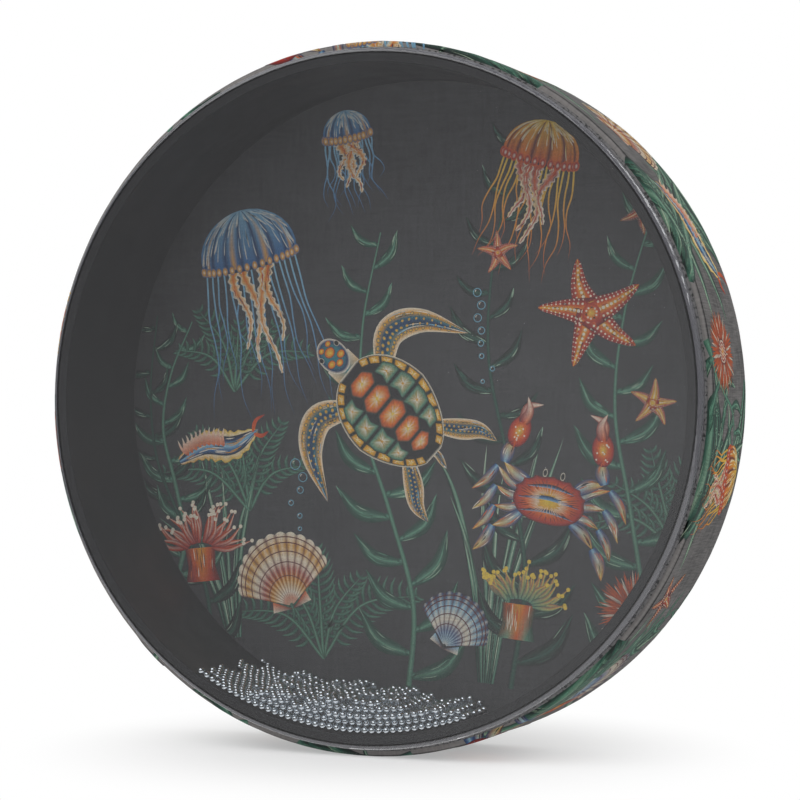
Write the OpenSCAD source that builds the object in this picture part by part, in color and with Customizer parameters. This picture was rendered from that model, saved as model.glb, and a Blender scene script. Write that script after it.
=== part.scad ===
// Ocean drum: a shallow two-headed frame drum, part filled with loose steel beads.
// It stands on its rim. Its axis lies along Y, with the clear head at the front (-Y),
// and the origin is on the surface below the middle of the drum.

/* [Shell] */
// Inner diameter of the shell, the clear width of the bead chamber
shell_bore = 291; // [220:1:400]
// Thickness of the shell's wall at the bearing edges
shell_wall = 6; // [4:0.5:10]
// Depth of the shell from bearing edge to bearing edge
shell_depth = 65; // [50:1:100]
// Radius of the rounded outer corner of each bearing edge
crest_radius = 1.6; // [1:0.2:2.6]
// Radius of the eased inner corner of each bearing edge
inner_ease = 0.6; // [0.3:0.1:1]

/* [Heads] */
// Thickness of the clear front film
front_film = 0.25; // [0.2:0.05:0.5]
// Thickness of the cloth-faced rear film
rear_film = 0.4; // [0.25:0.05:0.8]
// Length of the skirt that each head turns down the outside of the shell
skirt_length = 13; // [9.5:0.5:16]
// Height of the flat hoop bonded round each skirt
hoop_height = 7.5; // [4:0.5:8]
// Depth of the step cut round each edge of the shell for the skirt and its hoop
rebate = 2.7; // [2:0.1:4]
// Adhesive between faces that are bonded together
bond = 0.05; // [0.03:0.01:0.1]

/* [Cloth cover] */
// Thickness of the cloth
cloth = 0.85; // [0.5:0.05:1.2]
// Skirt left bare between the front head's face and the cloth
front_reveal = 5.8; // [5:0.2:8]
// Skirt left bare between the rear head's face and the cloth
rear_reveal = 5.8; // [5:0.2:8]
// Inside radius of the cloth's fold over the hoop
fold_radius = 0.3; // [0.2:0.05:0.6]
// Width of the lap where the cloth's two ends meet
lap_width = 14; // [8:1:24]
// Direction of the lap seen from the front, from straight down towards the left
lap_angle = 42; // [30:1:60]
// Width of the adhesive fillet between each skirt and the cloth's edge
glue_width = 0.9; // [0.5:0.1:1.4]

/* [Beads] */
// Diameter of a steel bead
bead_d = 3.2; // [3:0.1:4]
// Gap kept between neighbouring beads
bead_gap = 0.14; // [0.12:0.02:0.3]
// Least shift of a row of beads along the row before it, as a share of the pitch
least_shift_share = 0.35; // [0.3:0.05:0.45]
// Gap kept between the beads and the shell
wall_gap = 0.35; // [0.3:0.05:0.6]
// Gap kept between the beads and each head
head_gap = 0.35; // [0.3:0.05:0.6]
// Height of the pile's bead centres above the lowest ones
pile_height = 12; // [6:0.2:18]
// Fall of the pile's top from left to right, as a share of the run
pile_slope_share = 0.055; // [0:0.005:0.1]
// Further fall to the right at the rear head, as a share of the run from the middle
rear_fall_share = 0.12; // [0:0.01:0.2]
// Height of the low heaps and hollows in the pile's top
heap_height = 1.2; // [0:0.1:2]
// Run from one heap to the next
heap_run = 27; // [20:1:60]
// Beads missing from the upper layers, as a share of their places
void_share = 0.09; // [0:0.01:0.2]
// Angle that the lowest layer of beads climbs on the left of straight down
tail_angle = 33; // [20:1:40]
// Roughness of the pile's top, as a share of a bead's diameter
rough_share = 0.9; // [0:0.1:1.2]

/* [Hidden] */
SLICES = 11;
BEAD_NODES = [for (s = [1 : SLICES]) str("beads_", s < 10 ? "0" : "", s)];

$fa = 2;
$fs = 0.4;
overrun = 1;

// Radii from the drum's axis outwards
bore_r = shell_bore / 2;
shell_r = bore_r + shell_wall;
skirt_r = shell_r + bond;
cover_r = shell_r + rebate;
fold_out = fold_radius + cloth;
rim_r = cover_r + cloth;

// Depths behind the clear head's outer face
front_edge = front_film + bond;
rear_edge = front_edge + shell_depth;
total_d = rear_edge + bond + rear_film;
front_seat = front_reveal + cloth + bond;
rear_seat = rear_reveal + cloth + bond;
front_shoulder = max(front_seat + hoop_height, skirt_length) + bond;
rear_shoulder = max(rear_seat + hoop_height, skirt_length) + bond;

// The pile is made of rows along the drum's depth and layers up from the shell. Each row
// is shifted by chance along the one before it, and alternate layers by half a row.
pitch = bead_d + bead_gap;
chamber_run = shell_depth - bead_d - 2 * head_gap;
least_row_step = pitch * sqrt(1 - pow(least_shift_share, 2));
rows = floor(chamber_run / least_row_step + 0.5);
row_step = chamber_run / (rows - 0.5);
first_row = front_edge + head_gap + bead_d / 2;
layer_step = sqrt(pow(pitch, 2) - pow(row_step / 2, 2));
top_height = pile_height + heap_height + bead_d * rough_share / 2;
layers = floor(top_height / layer_step) + 1;
full_layers = 2;
lowest_r = bore_r - wall_gap - bead_d / 2;
reach_angle = 60;
tail_ragged_share = 0.12;
rough_seed = 11;
tail_seed = 5;
shift_seed = 41;
void_seed = 301;

// Turns the drum from its own frame, with depth along Z and down along Y, onto its rim
module stand() {
    translate([0, -total_d / 2, rim_r])
        rotate([-90, 0, 0])
            children();
}

// Builds a rear piece as if it were at the front
module at_rear() {
    translate([0, 0, total_d])
        mirror([0, 0, 1])
            children();
}

// Takes a rounded corner off the piece that lies towards -X and -Y of the origin
module corner_cut(radius) {
    translate([-radius, -radius])
        difference() {
            square(radius + overrun);
            circle(radius);
        }
}

// A quarter of a ring about the origin, in the quadrant of +X and -Y
module quarter_turn(inner, outer) {
    intersection() {
        difference() {
            circle(outer);
            circle(inner);
        }
        translate([0, -outer])
            square(outer);
    }
}

// The rounded corners of the bearing edge at a depth of zero, whose wall lies towards +Y
module bearing_edge_cuts() {
    translate([shell_r, 0])
        mirror([0, 1])
            corner_cut(crest_radius);
    translate([bore_r, 0])
        mirror([1, 0])
            mirror([0, 1])
                corner_cut(inner_ease);
}

module shell() {
    color("#3c3d40")
        stand()
            rotate_extrude()
                difference() {
                    union() {
                        translate([bore_r, front_edge])
                            square([shell_wall, shell_depth]);
                        translate([bore_r, front_shoulder])
                            square([cover_r - bond - bore_r, total_d - rear_shoulder - front_shoulder]);
                    }
                    translate([0, front_edge])
                        bearing_edge_cuts();
                    translate([0, rear_edge])
                        mirror([0, 1])
                            bearing_edge_cuts();
                }
}

// A film stretched over a bearing edge and turned down the outside of the shell
module head(film) {
    turn_in = crest_radius + bond;
    turn_out = turn_in + film;
    turn_at = shell_r - crest_radius;
    rotate_extrude() {
        square([turn_at, film]);
        translate([turn_at, turn_out])
            quarter_turn(turn_in, turn_out);
        translate([skirt_r, turn_out])
            square([film, skirt_length - turn_out]);
    }
}

module front_head() {
    color("#dfe8ee", 0.3)
        stand()
            head(front_film);
}

module rear_head() {
    color("#4a4b4e")
        stand()
            at_rear()
                head(rear_film);
}

// A flat hoop round a skirt, with its outer front corner eased to suit the cloth's fold
module hoop(film, seat) {
    inner_r = skirt_r + film + bond;
    outer_r = cover_r - bond;
    rotate_extrude()
        difference() {
            translate([inner_r, seat])
                square([outer_r - inner_r, hoop_height]);
            translate([outer_r, seat])
                mirror([0, 1])
                    corner_cut(fold_radius);
        }
}

module front_hoop() {
    color("#8d8a80")
        stand()
            hoop(front_film, front_seat);
}

module rear_hoop() {
    color("#8d8a80")
        stand()
            at_rear()
                hoop(rear_film, rear_seat);
}

// The cloth turned in over a hoop as far as the skirt, with its fold
module turned_in_cloth(film, reveal) {
    inner_r = skirt_r + film + bond;
    fold_at = rim_r - fold_out;
    translate([inner_r, reveal])
        square([fold_at - inner_r, cloth]);
    translate([fold_at, reveal + fold_out])
        quarter_turn(fold_radius, fold_out);
}

module cloth_cover() {
    side_from = front_reveal + fold_out;
    side_run = total_d - rear_reveal - fold_out - side_from;
    lap_arc = 2 * asin(lap_width / (2 * rim_r));
    color("#676664")
        stand() {
            rotate_extrude() {
                turned_in_cloth(front_film, front_reveal);
                translate([0, total_d])
                    mirror([0, 1])
                        turned_in_cloth(rear_film, rear_reveal);
                translate([cover_r, side_from])
                    square([cloth, side_run]);
            }
            rotate([0, 0, 90 + lap_angle - lap_arc / 2])
                rotate_extrude(angle = lap_arc)
                    translate([rim_r - cloth / 2, side_from + cloth])
                        square([cloth / 2 + cloth, side_run - 2 * cloth]);
        }
}

// The fillet of adhesive between a skirt and the cloth's cut edge
module glue_line(film, reveal) {
    inner_r = skirt_r + film + bond;
    rotate_extrude()
        polygon([
            [inner_r, reveal - glue_width],
            [inner_r + glue_width, reveal],
            [inner_r, reveal]
        ]);
}

module front_glue_line() {
    color("#2b2a2a")
        stand()
            glue_line(front_film, front_reveal);
}

module rear_glue_line() {
    color("#2b2a2a")
        stand()
            at_rear()
                glue_line(rear_film, rear_reveal);
}

// Height of the pile's top above the lowest bead centres, at x to the right of the
// middle and at a share of the chamber's depth behind its front
function pile_top(x, depth_share) =
    pile_height - x * pile_slope_share - max(x, 0) * rear_fall_share * depth_share
    - heap_height * cos(360 * x / heap_run) * cos(180 * depth_share);

// Shift of a row of beads along its layer, in pitches
function row_shift(steps, row) = steps[row] + (row == 0 ? 0 : row_shift(steps, row - 1));

// The beads of one row, layer by layer
module bead_row(row) {
    depth_share = row / (rows - 1);
    tail_end = tail_angle * (1 - tail_ragged_share * rands(0, 1, 1, tail_seed + row)[0]);
    for (layer = [0 : layers - 1]) {
        radius = lowest_r - layer * layer_step;
        turn = 2 * asin(pitch / (2 * radius));
        places = ceil(reach_angle / turn);
        steps = rands(least_shift_share, 1 - least_shift_share, rows, shift_seed + layer);
        shift = row_shift(steps, row);
        noise = rands(-0.5, 0.5, 2 * places + 1, rough_seed + row * layers + layer);
        chance = rands(0, 1, 2 * places + 1, void_seed + row * layers + layer);
        for (place = [-places : places]) {
            angle = turn * (place + shift - floor(shift));
            x = radius * sin(angle);
            height = lowest_r - radius * cos(angle);
            rough = bead_d * rough_share * noise[place + places];
            in_tail = layer == 0 && angle < 0 && angle > -tail_end;
            in_pile = height + rough < pile_top(x, depth_share) && angle > -tail_end;
            filled = layer < full_layers || chance[place + places] > void_share;
            if (in_tail || (in_pile && filled))
                translate([x, radius * cos(angle), first_row + row_step * (row + (layer % 2) / 2)])
                    sphere(d = bead_d);
        }
    }
}

// The rows of beads that fall in one of the equal slices of the drum's depth
module beads(slice) {
    color("#b9bec4")
        stand()
            for (row = [0 : rows - 1])
                if (floor(row * SLICES / rows) == slice - 1)
                    bead_row(row);
}

shell();
front_head();
rear_head();
front_hoop();
rear_hoop();
cloth_cover();
front_glue_line();
rear_glue_line();
for (slice = [1 : SLICES])
    beads(slice);
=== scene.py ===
"""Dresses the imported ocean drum: its steel beads, sealed shell, clear head, cloth and sea-bed print.

The frame gives the drum's place and the sizes that the pieces share. The classes below add what the
solids leave out: the finish of every part, the cloth round the rim, and the ink printed on the cloth.
"""

import logging
import random
from dataclasses import dataclass, field
from enum import Enum
from functools import partial
from math import ceil, copysign, cos, hypot, pi, radians, sin, sqrt, tau
from typing import Any, Callable, Sequence

import bpy
import numpy as np
from bpy.types import Material, Node, NodeSocket, NodeTree, Object
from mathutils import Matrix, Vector


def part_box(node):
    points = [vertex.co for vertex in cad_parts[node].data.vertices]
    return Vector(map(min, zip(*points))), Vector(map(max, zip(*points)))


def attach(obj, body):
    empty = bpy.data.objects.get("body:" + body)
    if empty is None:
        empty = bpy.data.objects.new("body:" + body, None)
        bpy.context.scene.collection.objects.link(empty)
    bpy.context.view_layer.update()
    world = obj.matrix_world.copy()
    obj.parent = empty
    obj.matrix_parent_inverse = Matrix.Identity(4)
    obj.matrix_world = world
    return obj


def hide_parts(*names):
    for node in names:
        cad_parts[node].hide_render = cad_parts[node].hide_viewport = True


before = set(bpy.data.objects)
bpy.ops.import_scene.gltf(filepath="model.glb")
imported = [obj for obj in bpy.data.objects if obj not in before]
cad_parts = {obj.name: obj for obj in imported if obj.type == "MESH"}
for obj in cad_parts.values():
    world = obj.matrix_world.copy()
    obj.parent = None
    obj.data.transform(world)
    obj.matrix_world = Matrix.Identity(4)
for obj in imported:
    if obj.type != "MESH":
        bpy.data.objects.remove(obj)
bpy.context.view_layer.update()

LOG = logging.getLogger("ocean_drum")
MM = 0.001
PICTURE_PX = 800
WHITE = (1.0, 1.0, 1.0, 1.0)
# Heights over the cloth in millimetres: of the lowest ink, and from one layer of motifs to the next.
INK_BASE, INK_LAYER = 0.02, 0.08
# The least radius in millimetres, and the least area in square metres, that count.
TINY, SLIVER = 1e-6, 1e-12

Point = tuple[float, float]
Line = Sequence[Point]
Colour = tuple[float, float, float]
Array = np.ndarray
Adder = Callable[..., Node]


def linear(hex_colour: str) -> Colour:
    """Turns an sRGB colour into linear light.

    Args:
        hex_colour: The colour as "#rrggbb".

    Returns:
        Red, green and blue from 0 to 1.
    """
    values = (int(hex_colour[i:i + 2], 16) / 255 for i in (1, 3, 5))
    return tuple(v / 12.92 if v <= 0.04045 else ((v + 0.055) / 1.055) ** 2.4 for v in values)


def mixed(one: Colour, other: Colour, share: float) -> Colour:
    """Gives the colour that lies at a share of the way from one to the other."""
    return tuple(a + (b - a) * share for a, b in zip(one, other))


def add_node(tree: NodeTree, kind: str, settings: dict[str, Any] | None = None,
             links: dict[str | int, Any] | None = None) -> Node:
    """Adds one node to a material or world.

    Args:
        tree: The node tree to add to.
        kind: The shader node's type, such as "Math".
        settings: Properties of the node by name, and values of its inputs by name or number.
        links: What feeds each input, by the input's name or number: an output, or a node, which
            stands for its first output.

    Returns:
        The new node.
    """
    node = tree.nodes.new(f"ShaderNode{kind}")
    for name, value in (settings or {}).items():
        if isinstance(name, str) and hasattr(node, name):
            setattr(node, name, value)
        else:
            node.inputs[name].default_value = value
    for name, source in (links or {}).items():
        tree.links.new(source.outputs[0] if isinstance(source, Node) else source, node.inputs[name])
    return node


class Slot(Enum):
    """The surfaces that can be dressed anew."""

    FILM = "printed_film"
    COVER = "cover_cloth"


class Ink(Enum):
    """The colours of ink on the cloth."""

    NIGHT = "#1d1f22"
    DEEP_GREEN = "#1f3f33"
    WEED = "#316454"
    LEAF = "#669b80"
    TIP = "#c0d4b8"
    DEEP_BLUE = "#173a66"
    BLUE = "#2b67a0"
    SKY = "#8fc3dc"
    TEAL = "#2c7d86"
    GOLD = "#e0a01e"
    YELLOW = "#f0cf4a"
    ORANGE = "#e0641c"
    RED = "#b02a1c"
    WINE = "#5e1c22"
    CREAM = "#efe6cf"

    @property
    def light(self) -> Colour:
        """The ink's colour in linear light."""
        return linear(self.value)


GOLDEN = (Ink.WINE, Ink.ORANGE, Ink.YELLOW)
RUSTY = (Ink.WINE, Ink.RED, Ink.ORANGE)
HOT = (Ink.RED, Ink.CREAM)

Tint = Ink | Colour
Run = Tint | tuple[Tint, Tint]
Shades = tuple[Tint, Tint, Tint]


def radii_of(node: str, axis_z: float) -> tuple[float, float]:
    """Measures how near to and far from the drum's axis a solid comes.

    Args:
        node: The solid's name.
        axis_z: Height of the drum's axis.

    Returns:
        The least and the greatest radius, in metres.
    """
    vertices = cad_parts[node].data.vertices
    points = np.zeros(len(vertices) * 3)
    vertices.foreach_get("co", points)
    points = points.reshape(-1, 3)
    radius = np.hypot(points[:, 0], points[:, 2] - axis_z)
    return float(radius.min()), float(radius.max())


@dataclass(frozen=True)
class DrumSizes:
    """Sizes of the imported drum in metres, read from its solids.

    Attributes:
        axis_z: Height of the drum's axis.
        front_y: Outer face of the clear head.
        rear_y: Outer face of the printed head.
        bore_r: Inner radius of the shell.
        crest_r: Outer radius of the rear head's skirt.
    """

    axis_z: float
    front_y: float
    rear_y: float
    bore_r: float
    crest_r: float

    @classmethod
    def from_frame(cls) -> "DrumSizes":
        """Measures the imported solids.

        Returns:
            The sizes.
        """
        low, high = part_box("rear_head")
        axis_z = (low.z + high.z) / 2
        bore_r = radii_of("shell", axis_z)[0]
        return cls(axis_z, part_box("front_head")[0].y, high.y, bore_r, (high.x - low.x) / 2)


@dataclass
class Artwork:
    """Ink patches on the flat cloth, each a small grid of coloured points in millimetres.

    Attributes:
        points: Places on the cloth, right and up.
        shades: Each point's colour in linear light.
        lifts: How far each point lies over the cloth, so that later ink covers earlier ink.
        quads: Four point numbers for each face.
    """

    points: list[Point] = field(default_factory=list)
    shades: list[Colour] = field(default_factory=list)
    lifts: list[float] = field(default_factory=list)
    quads: list[tuple[int, int, int, int]] = field(default_factory=list)

    def add_patch(self, rows: Sequence[Line], shades: Sequence[Sequence[Colour]],
                  lift: float, closed: bool = False) -> None:
        """Adds a grid of points.

        Args:
            rows: Rows of equally many points.
            shades: A colour for each point.
            lift: Height over the cloth in millimetres.
            closed: Whether each row's end joins its start.
        """
        first, width = len(self.points), len(rows[0])
        for row, colours in zip(rows, shades):
            self.points.extend(row)
            self.shades.extend(colours)
            self.lifts.extend([lift] * width)
        for r in range(len(rows) - 1):
            for c in range(width if closed else width - 1):
                a, b = first + r * width + c, first + r * width + (c + 1) % width
                self.quads.append((a, b, b + width, a + width))


def smooth_curve(knots: Line, steps: int = 8) -> list[Point]:
    """Runs a smooth curve through points.

    Args:
        knots: The points that the curve passes.
        steps: Pieces between two points.

    Returns:
        Points along the curve.
    """
    ends = [_beyond(knots[1], knots[0]), *knots, _beyond(knots[-2], knots[-1])]
    curve = []
    for i in range(1, len(ends) - 2):
        p0, p1, p2, p3 = (np.array(p) for p in ends[i - 1:i + 3])
        for s in range(steps):
            t = s / steps
            at = 0.5 * (2 * p1 + (p2 - p0) * t + (2 * p0 - 5 * p1 + 4 * p2 - p3) * t ** 2
                        + (3 * p1 - p0 - 3 * p2 + p3) * t ** 3)
            curve.append((float(at[0]), float(at[1])))
    return [*curve, tuple(knots[-1])]


def _beyond(inner: Point, end: Point) -> Point:
    """Reflects a curve's second point through its end."""
    return (2 * end[0] - inner[0], 2 * end[1] - inner[1])


def on_band(spine: Line, half_widths: Sequence[float], share: float, side: float) -> Point:
    """Finds a place on a band.

    Args:
        spine: Points along the band's middle.
        half_widths: Its half width at each point.
        share: How far along it lies, from 0 to 1.
        side: How far across, from -1 at the right edge to 1 at the left.

    Returns:
        The place.
    """
    along = min(max(share, 0.0), 1.0) * (len(spine) - 1)
    i = min(int(along), len(spine) - 2)
    part = along - i
    (x0, y0), (x1, y1) = spine[i], spine[i + 1]
    length = hypot(x1 - x0, y1 - y0) or 1.0
    half = (half_widths[i] * (1 - part) + half_widths[i + 1] * part) * side
    return (x0 + (x1 - x0) * part - (y1 - y0) / length * half,
            y0 + (y1 - y0) * part + (x1 - x0) / length * half)


def bowed(start: Point, end: Point, bow: float, steps: int = 5) -> list[Point]:
    """Runs a bowed line between two points.

    Args:
        start: Its start.
        end: Its end.
        bow: How far its middle lies to the left, as a share of its length.
        steps: Pieces in each half.

    Returns:
        Points along the line.
    """
    (x0, y0), (x1, y1) = start, end
    middle = ((x0 + x1) / 2 - (y1 - y0) * bow, (y0 + y1) / 2 + (x1 - x0) * bow)
    return smooth_curve([start, middle, end], steps)


def spindle(count: int, half_width: float, fullest: float = 0.45, root: float = 0.1) -> list[float]:
    """Gives a leaf's half widths along its length.

    Args:
        count: How many points.
        half_width: The half width at its fullest.
        fullest: Where that is, as a share of the length.
        root: Half width at the start, as a share of the fullest.

    Returns:
        A half width for each point.
    """
    widths = []
    for i in range(count):
        t = i / (count - 1)
        swell = t / fullest if t < fullest else (1 - t) / (1 - fullest)
        floor = root if t < fullest else 0.0
        widths.append(half_width * (floor + (1 - floor) * sin(pi / 2 * swell) ** 0.9))
    return widths


class Pen:
    """Draws with ink in a motif's own coordinates, and places it on the cloth."""

    # Heights in millimetres from one level of ink to the next, and between patches of one level.
    LEVEL, STEP, STEPS = 0.002, 0.0005, 3
    # The radius below which an oval has few points and not many.
    SMALL, FEW, MANY = 1.2, 10, 26

    def __init__(self, art: Artwork, at: Point = (0.0, 0.0), turn: float = 0.0, scale: float = 1.0,
                 flip: bool = False, base: float = 0.0) -> None:
        """Sets where the motif goes.

        Args:
            art: The artwork to draw on.
            at: Place of the motif's origin in millimetres.
            turn: Anticlockwise turn in degrees.
            scale: Size of the motif against its drawn size.
            flip: Whether the motif is mirrored.
            base: Height over the cloth of its first ink, in millimetres.
        """
        self.art, self.at, self.scale, self.flip, self.lift = art, at, scale, flip, base
        self.cos, self.sin = cos(radians(turn)), sin(radians(turn))
        self.count = 0
        self.dice = random.Random(round(at[0] * 7 + at[1] * 131 + turn))

    def above(self) -> None:
        """Raises the ink that follows over all that the pen drew before."""
        self.lift += self.LEVEL

    def placed(self, point: Point) -> Point:
        """Takes a point of the motif to its place on the cloth."""
        x, y = point[0] * self.scale * (-1 if self.flip else 1), point[1] * self.scale
        return (self.at[0] + x * self.cos - y * self.sin, self.at[1] + x * self.sin + y * self.cos)

    def patch(self, rows: Sequence[Line], shades: Sequence[Sequence[Colour]],
              closed: bool = False) -> None:
        """Lays one grid of ink.

        Args:
            rows: Rows of equally many points of the motif.
            shades: A colour for each point.
            closed: Whether each row's end joins its start.
        """
        self.count = (self.count + 1) % self.STEPS
        rows = [[self.placed(p) for p in row] for row in rows]
        self.art.add_patch(rows, shades, self.lift + self.STEP * self.count, closed)

    def band(self, spine: Line, half_widths: Sequence[float], across: Sequence[Run]) -> None:
        """Draws a band along a curve.

        Args:
            spine: Points along its middle.
            half_widths: Its half width at each point.
            across: From its left edge to its right, the colours at its start and end, or one for both.
        """
        count = len(spine)
        sides = [1 - 2 * k / (len(across) - 1) for k in range(len(across))]
        pairs = [run if isinstance(run, tuple) and len(run) == 2 else (run, run) for run in across]
        ends = [(light(a), light(b)) for a, b in pairs]
        rows = [[on_band(spine, half_widths, i / (count - 1), s) for s in sides] for i in range(count)]
        shades = [[mixed(a, b, i / (count - 1)) for a, b in ends] for i in range(count)]
        self.patch(rows, shades)

    def stroke(self, start: Point, end: Point, half_width: float, tints: Run, bow: float = 0.0) -> None:
        """Draws one pencil stroke that thins out to a point.

        Args:
            start: Where it starts.
            end: Where it ends.
            half_width: Half its width at its fullest.
            tints: The colours at its start and end, or one for both.
            bow: How far its middle lies to the left, as a share of its length.
        """
        spine = bowed(start, end, bow, 3)
        self.band(spine, spindle(len(spine), half_width, 0.3, 0.4), [tints, tints])

    def hatch(self, spine: Line, half_widths: Sequence[float], tints: Sequence[Tint],
              count: int, run: float = 0.25, thin: float = 0.22) -> None:
        """Strews pencil strokes along a band.

        Args:
            spine: Points along the band's middle.
            half_widths: Its half width at each point.
            tints: The strokes' colours, one picked for each.
            count: How many strokes.
            run: Length of a stroke, as a share of the band.
            thin: Half width of a stroke in millimetres.
        """
        for _ in range(count):
            start, side = self.dice.uniform(0.02, 0.95 - run / 2), self.dice.uniform(-0.82, 0.82)
            points = [on_band(spine, half_widths, start + run * k / 4, side) for k in range(5)]
            tint = self.dice.choice(tints)
            self.band(points, spindle(5, thin * self.dice.uniform(0.7, 1.3), 0.4, 0.2), [tint] * 2)

    def rings(self, outline: Line, centre: Point, tints: Sequence[tuple[float, Tint]]) -> None:
        """Fills an outline from its centre outwards.

        Args:
            outline: Points round its edge.
            centre: The point that the rings shrink to.
            tints: Pairs of a share of the way out, from 0 to 1, and the colour there.
        """
        rows = [[(centre[0] + (x - centre[0]) * s, centre[1] + (y - centre[1]) * s) for x, y in outline]
                for s, _ in tints]
        self.patch(rows, [[light(tint)] * len(outline) for _, tint in tints], closed=True)

    def oval(self, centre: Point, rx: float, ry: float, tints: Sequence[tuple[float, Tint]],
             turn: float = 0.0) -> None:
        """Fills an ellipse from its centre outwards.

        Args:
            centre: Its centre.
            rx: Its radius across.
            ry: Its radius up.
            tints: Pairs of a share of the way out, from 0 to 1, and the colour there.
            turn: Its anticlockwise turn in degrees.
        """
        c, s = cos(radians(turn)), sin(radians(turn))
        steps = self.FEW if max(rx, ry) * self.scale < self.SMALL else self.MANY
        outline = []
        for k in range(steps):
            u, v = rx * cos(tau * k / steps), ry * sin(tau * k / steps)
            outline.append((centre[0] + u * c - v * s, centre[1] + u * s + v * c))
        self.rings(outline, centre, tints)

    def dot(self, centre: Point, radius: float, tint: Tint) -> None:
        """Sets one round dot."""
        self.oval(centre, radius, radius, [(0.0, tint), (1.0, tint)])

    def rays(self, centre: Point, outline: Line, tints: Run, count: int,
             reach: tuple[float, float], thin: float = 0.22) -> None:
        """Draws strokes from a centre towards an outline.

        Args:
            centre: The point that they leave.
            outline: Points round the edge.
            tints: The colours at a stroke's start and end, or one for both.
            count: How many strokes.
            reach: Shares of the way out at which a stroke starts and ends.
            thin: Half width of a stroke in millimetres.
        """
        for k in range(count):
            x, y = outline[int(len(outline) * (k + self.dice.uniform(-0.3, 0.3)) / count) % len(outline)]
            near, far = reach[0] * self.dice.uniform(0.8, 1.2), reach[1] * self.dice.uniform(0.85, 1.0)
            dx, dy = x - centre[0], y - centre[1]
            self.stroke((centre[0] + dx * near, centre[1] + dy * near),
                        (centre[0] + dx * far, centre[1] + dy * far), thin, tints)


def light(tint: Tint) -> Colour:
    """Gives an ink's or a mixed colour's linear light."""
    return tint.light if isinstance(tint, Ink) else tint


def blend_of(one: Ink, other: Ink, share: float) -> Colour:
    """Mixes two inks."""
    return mixed(one.light, other.light, share)


class Motif:
    """Something that is drawn on the cloth, in millimetres about its own origin."""

    def draw(self, pen: Pen) -> None:
        """Draws the motif with a pen that stands at its place."""
        raise NotImplementedError


@dataclass
class Kelp(Motif):
    """A kelp frond: a bending stem with leaves on alternate sides, each on a small float."""

    height: float = 150.0
    sway: float = 9.0
    leaf: float = 30.0
    pairs: int = 8
    tints: Shades = (Ink.DEEP_GREEN, Ink.WEED, Ink.LEAF)

    def draw(self, pen: Pen) -> None:
        """Draws the frond upwards from its root.

        Args:
            pen: Draws it.
        """
        dark, mid, pale = self.tints
        stem = smooth_curve([(self.sway * sin(1.3 * k + 0.4), self.height * k / 5) for k in range(6)], 9)
        widths = [1.5 - 1.1 * i / len(stem) for i in range(len(stem))]
        for k in range(self.pairs * 2, 0, -1):
            share = k / (self.pairs * 2 + 0.6)
            length = self.leaf * (1.1 - 0.55 * share) * pen.dice.uniform(0.85, 1.1)
            self._leaf(pen, on_band(stem, widths, share, 0), 1 if k % 2 else -1, length)
        pen.above()
        pen.band(stem, widths, [(dark, mid), pale, (mid, dark)])

    def _leaf(self, pen: Pen, root: Point, side: int, length: float) -> None:
        """Draws one leaf with its float, ribs and light edge.

        Args:
            pen: Draws it.
            root: Where it leaves the stem.
            side: 1 for the right, -1 for the left.
            length: Its length.
        """
        dark, mid, pale = self.tints
        slant = radians(pen.dice.uniform(28, 52))
        tip = (root[0] + side * length * cos(slant), root[1] + length * sin(slant))
        spine = bowed(root, tip, -0.16 * side, 6)
        widths = spindle(len(spine), length * 0.115, 0.42, 0.15)
        pen.band(spine, widths, [dark, (mid, dark), (pale, mid), (mid, dark), dark])
        pen.above()
        pen.band(spine, spindle(len(spine), 0.28), [pale] * 2)
        pen.hatch(spine, widths, [pale, dark, blend_of(Ink.LEAF, Ink.TIP, 0.5)], 9, 0.22, 0.2)
        bladder = (root[0] + side * 1.8, root[1] + 1.2)
        pen.oval(bladder, 1.9, 1.25, [(0.0, pale), (0.6, mid), (1.0, dark)], 35 * side)


@dataclass
class Grass(Motif):
    """A tuft of long sea grass blades that lean and cross."""

    height: float = 110.0
    spread: float = 26.0
    blades: int = 7
    half_width: tuple[float, float] = (1.3, 2.1)

    def draw(self, pen: Pen) -> None:
        """Draws the blades upwards from the tuft's foot.

        Args:
            pen: Draws it.
        """
        for k in range(self.blades):
            lean = (k / (self.blades - 1) - 0.5) * 2
            height = self.height * pen.dice.uniform(0.6, 1.0)
            spine = smooth_curve([(lean * 3, 0), (lean * self.spread * 0.35, height * 0.4),
                                  (lean * self.spread * 0.8, height * 0.75),
                                  (lean * self.spread * 1.3 + pen.dice.uniform(-5, 5), height)], 8)
            widths = spindle(len(spine), pen.dice.uniform(*self.half_width), 0.35, 0.6)
            pen.band(spine, widths, [Ink.NIGHT, Ink.DEEP_GREEN, Ink.WEED,
                                     (Ink.LEAF, Ink.TIP), (Ink.WEED, Ink.LEAF), (Ink.NIGHT, Ink.DEEP_GREEN)])
            pen.above()
            pen.hatch(spine, widths, [Ink.LEAF, Ink.TIP, Ink.DEEP_GREEN], 8, 0.3, 0.17)


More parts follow.
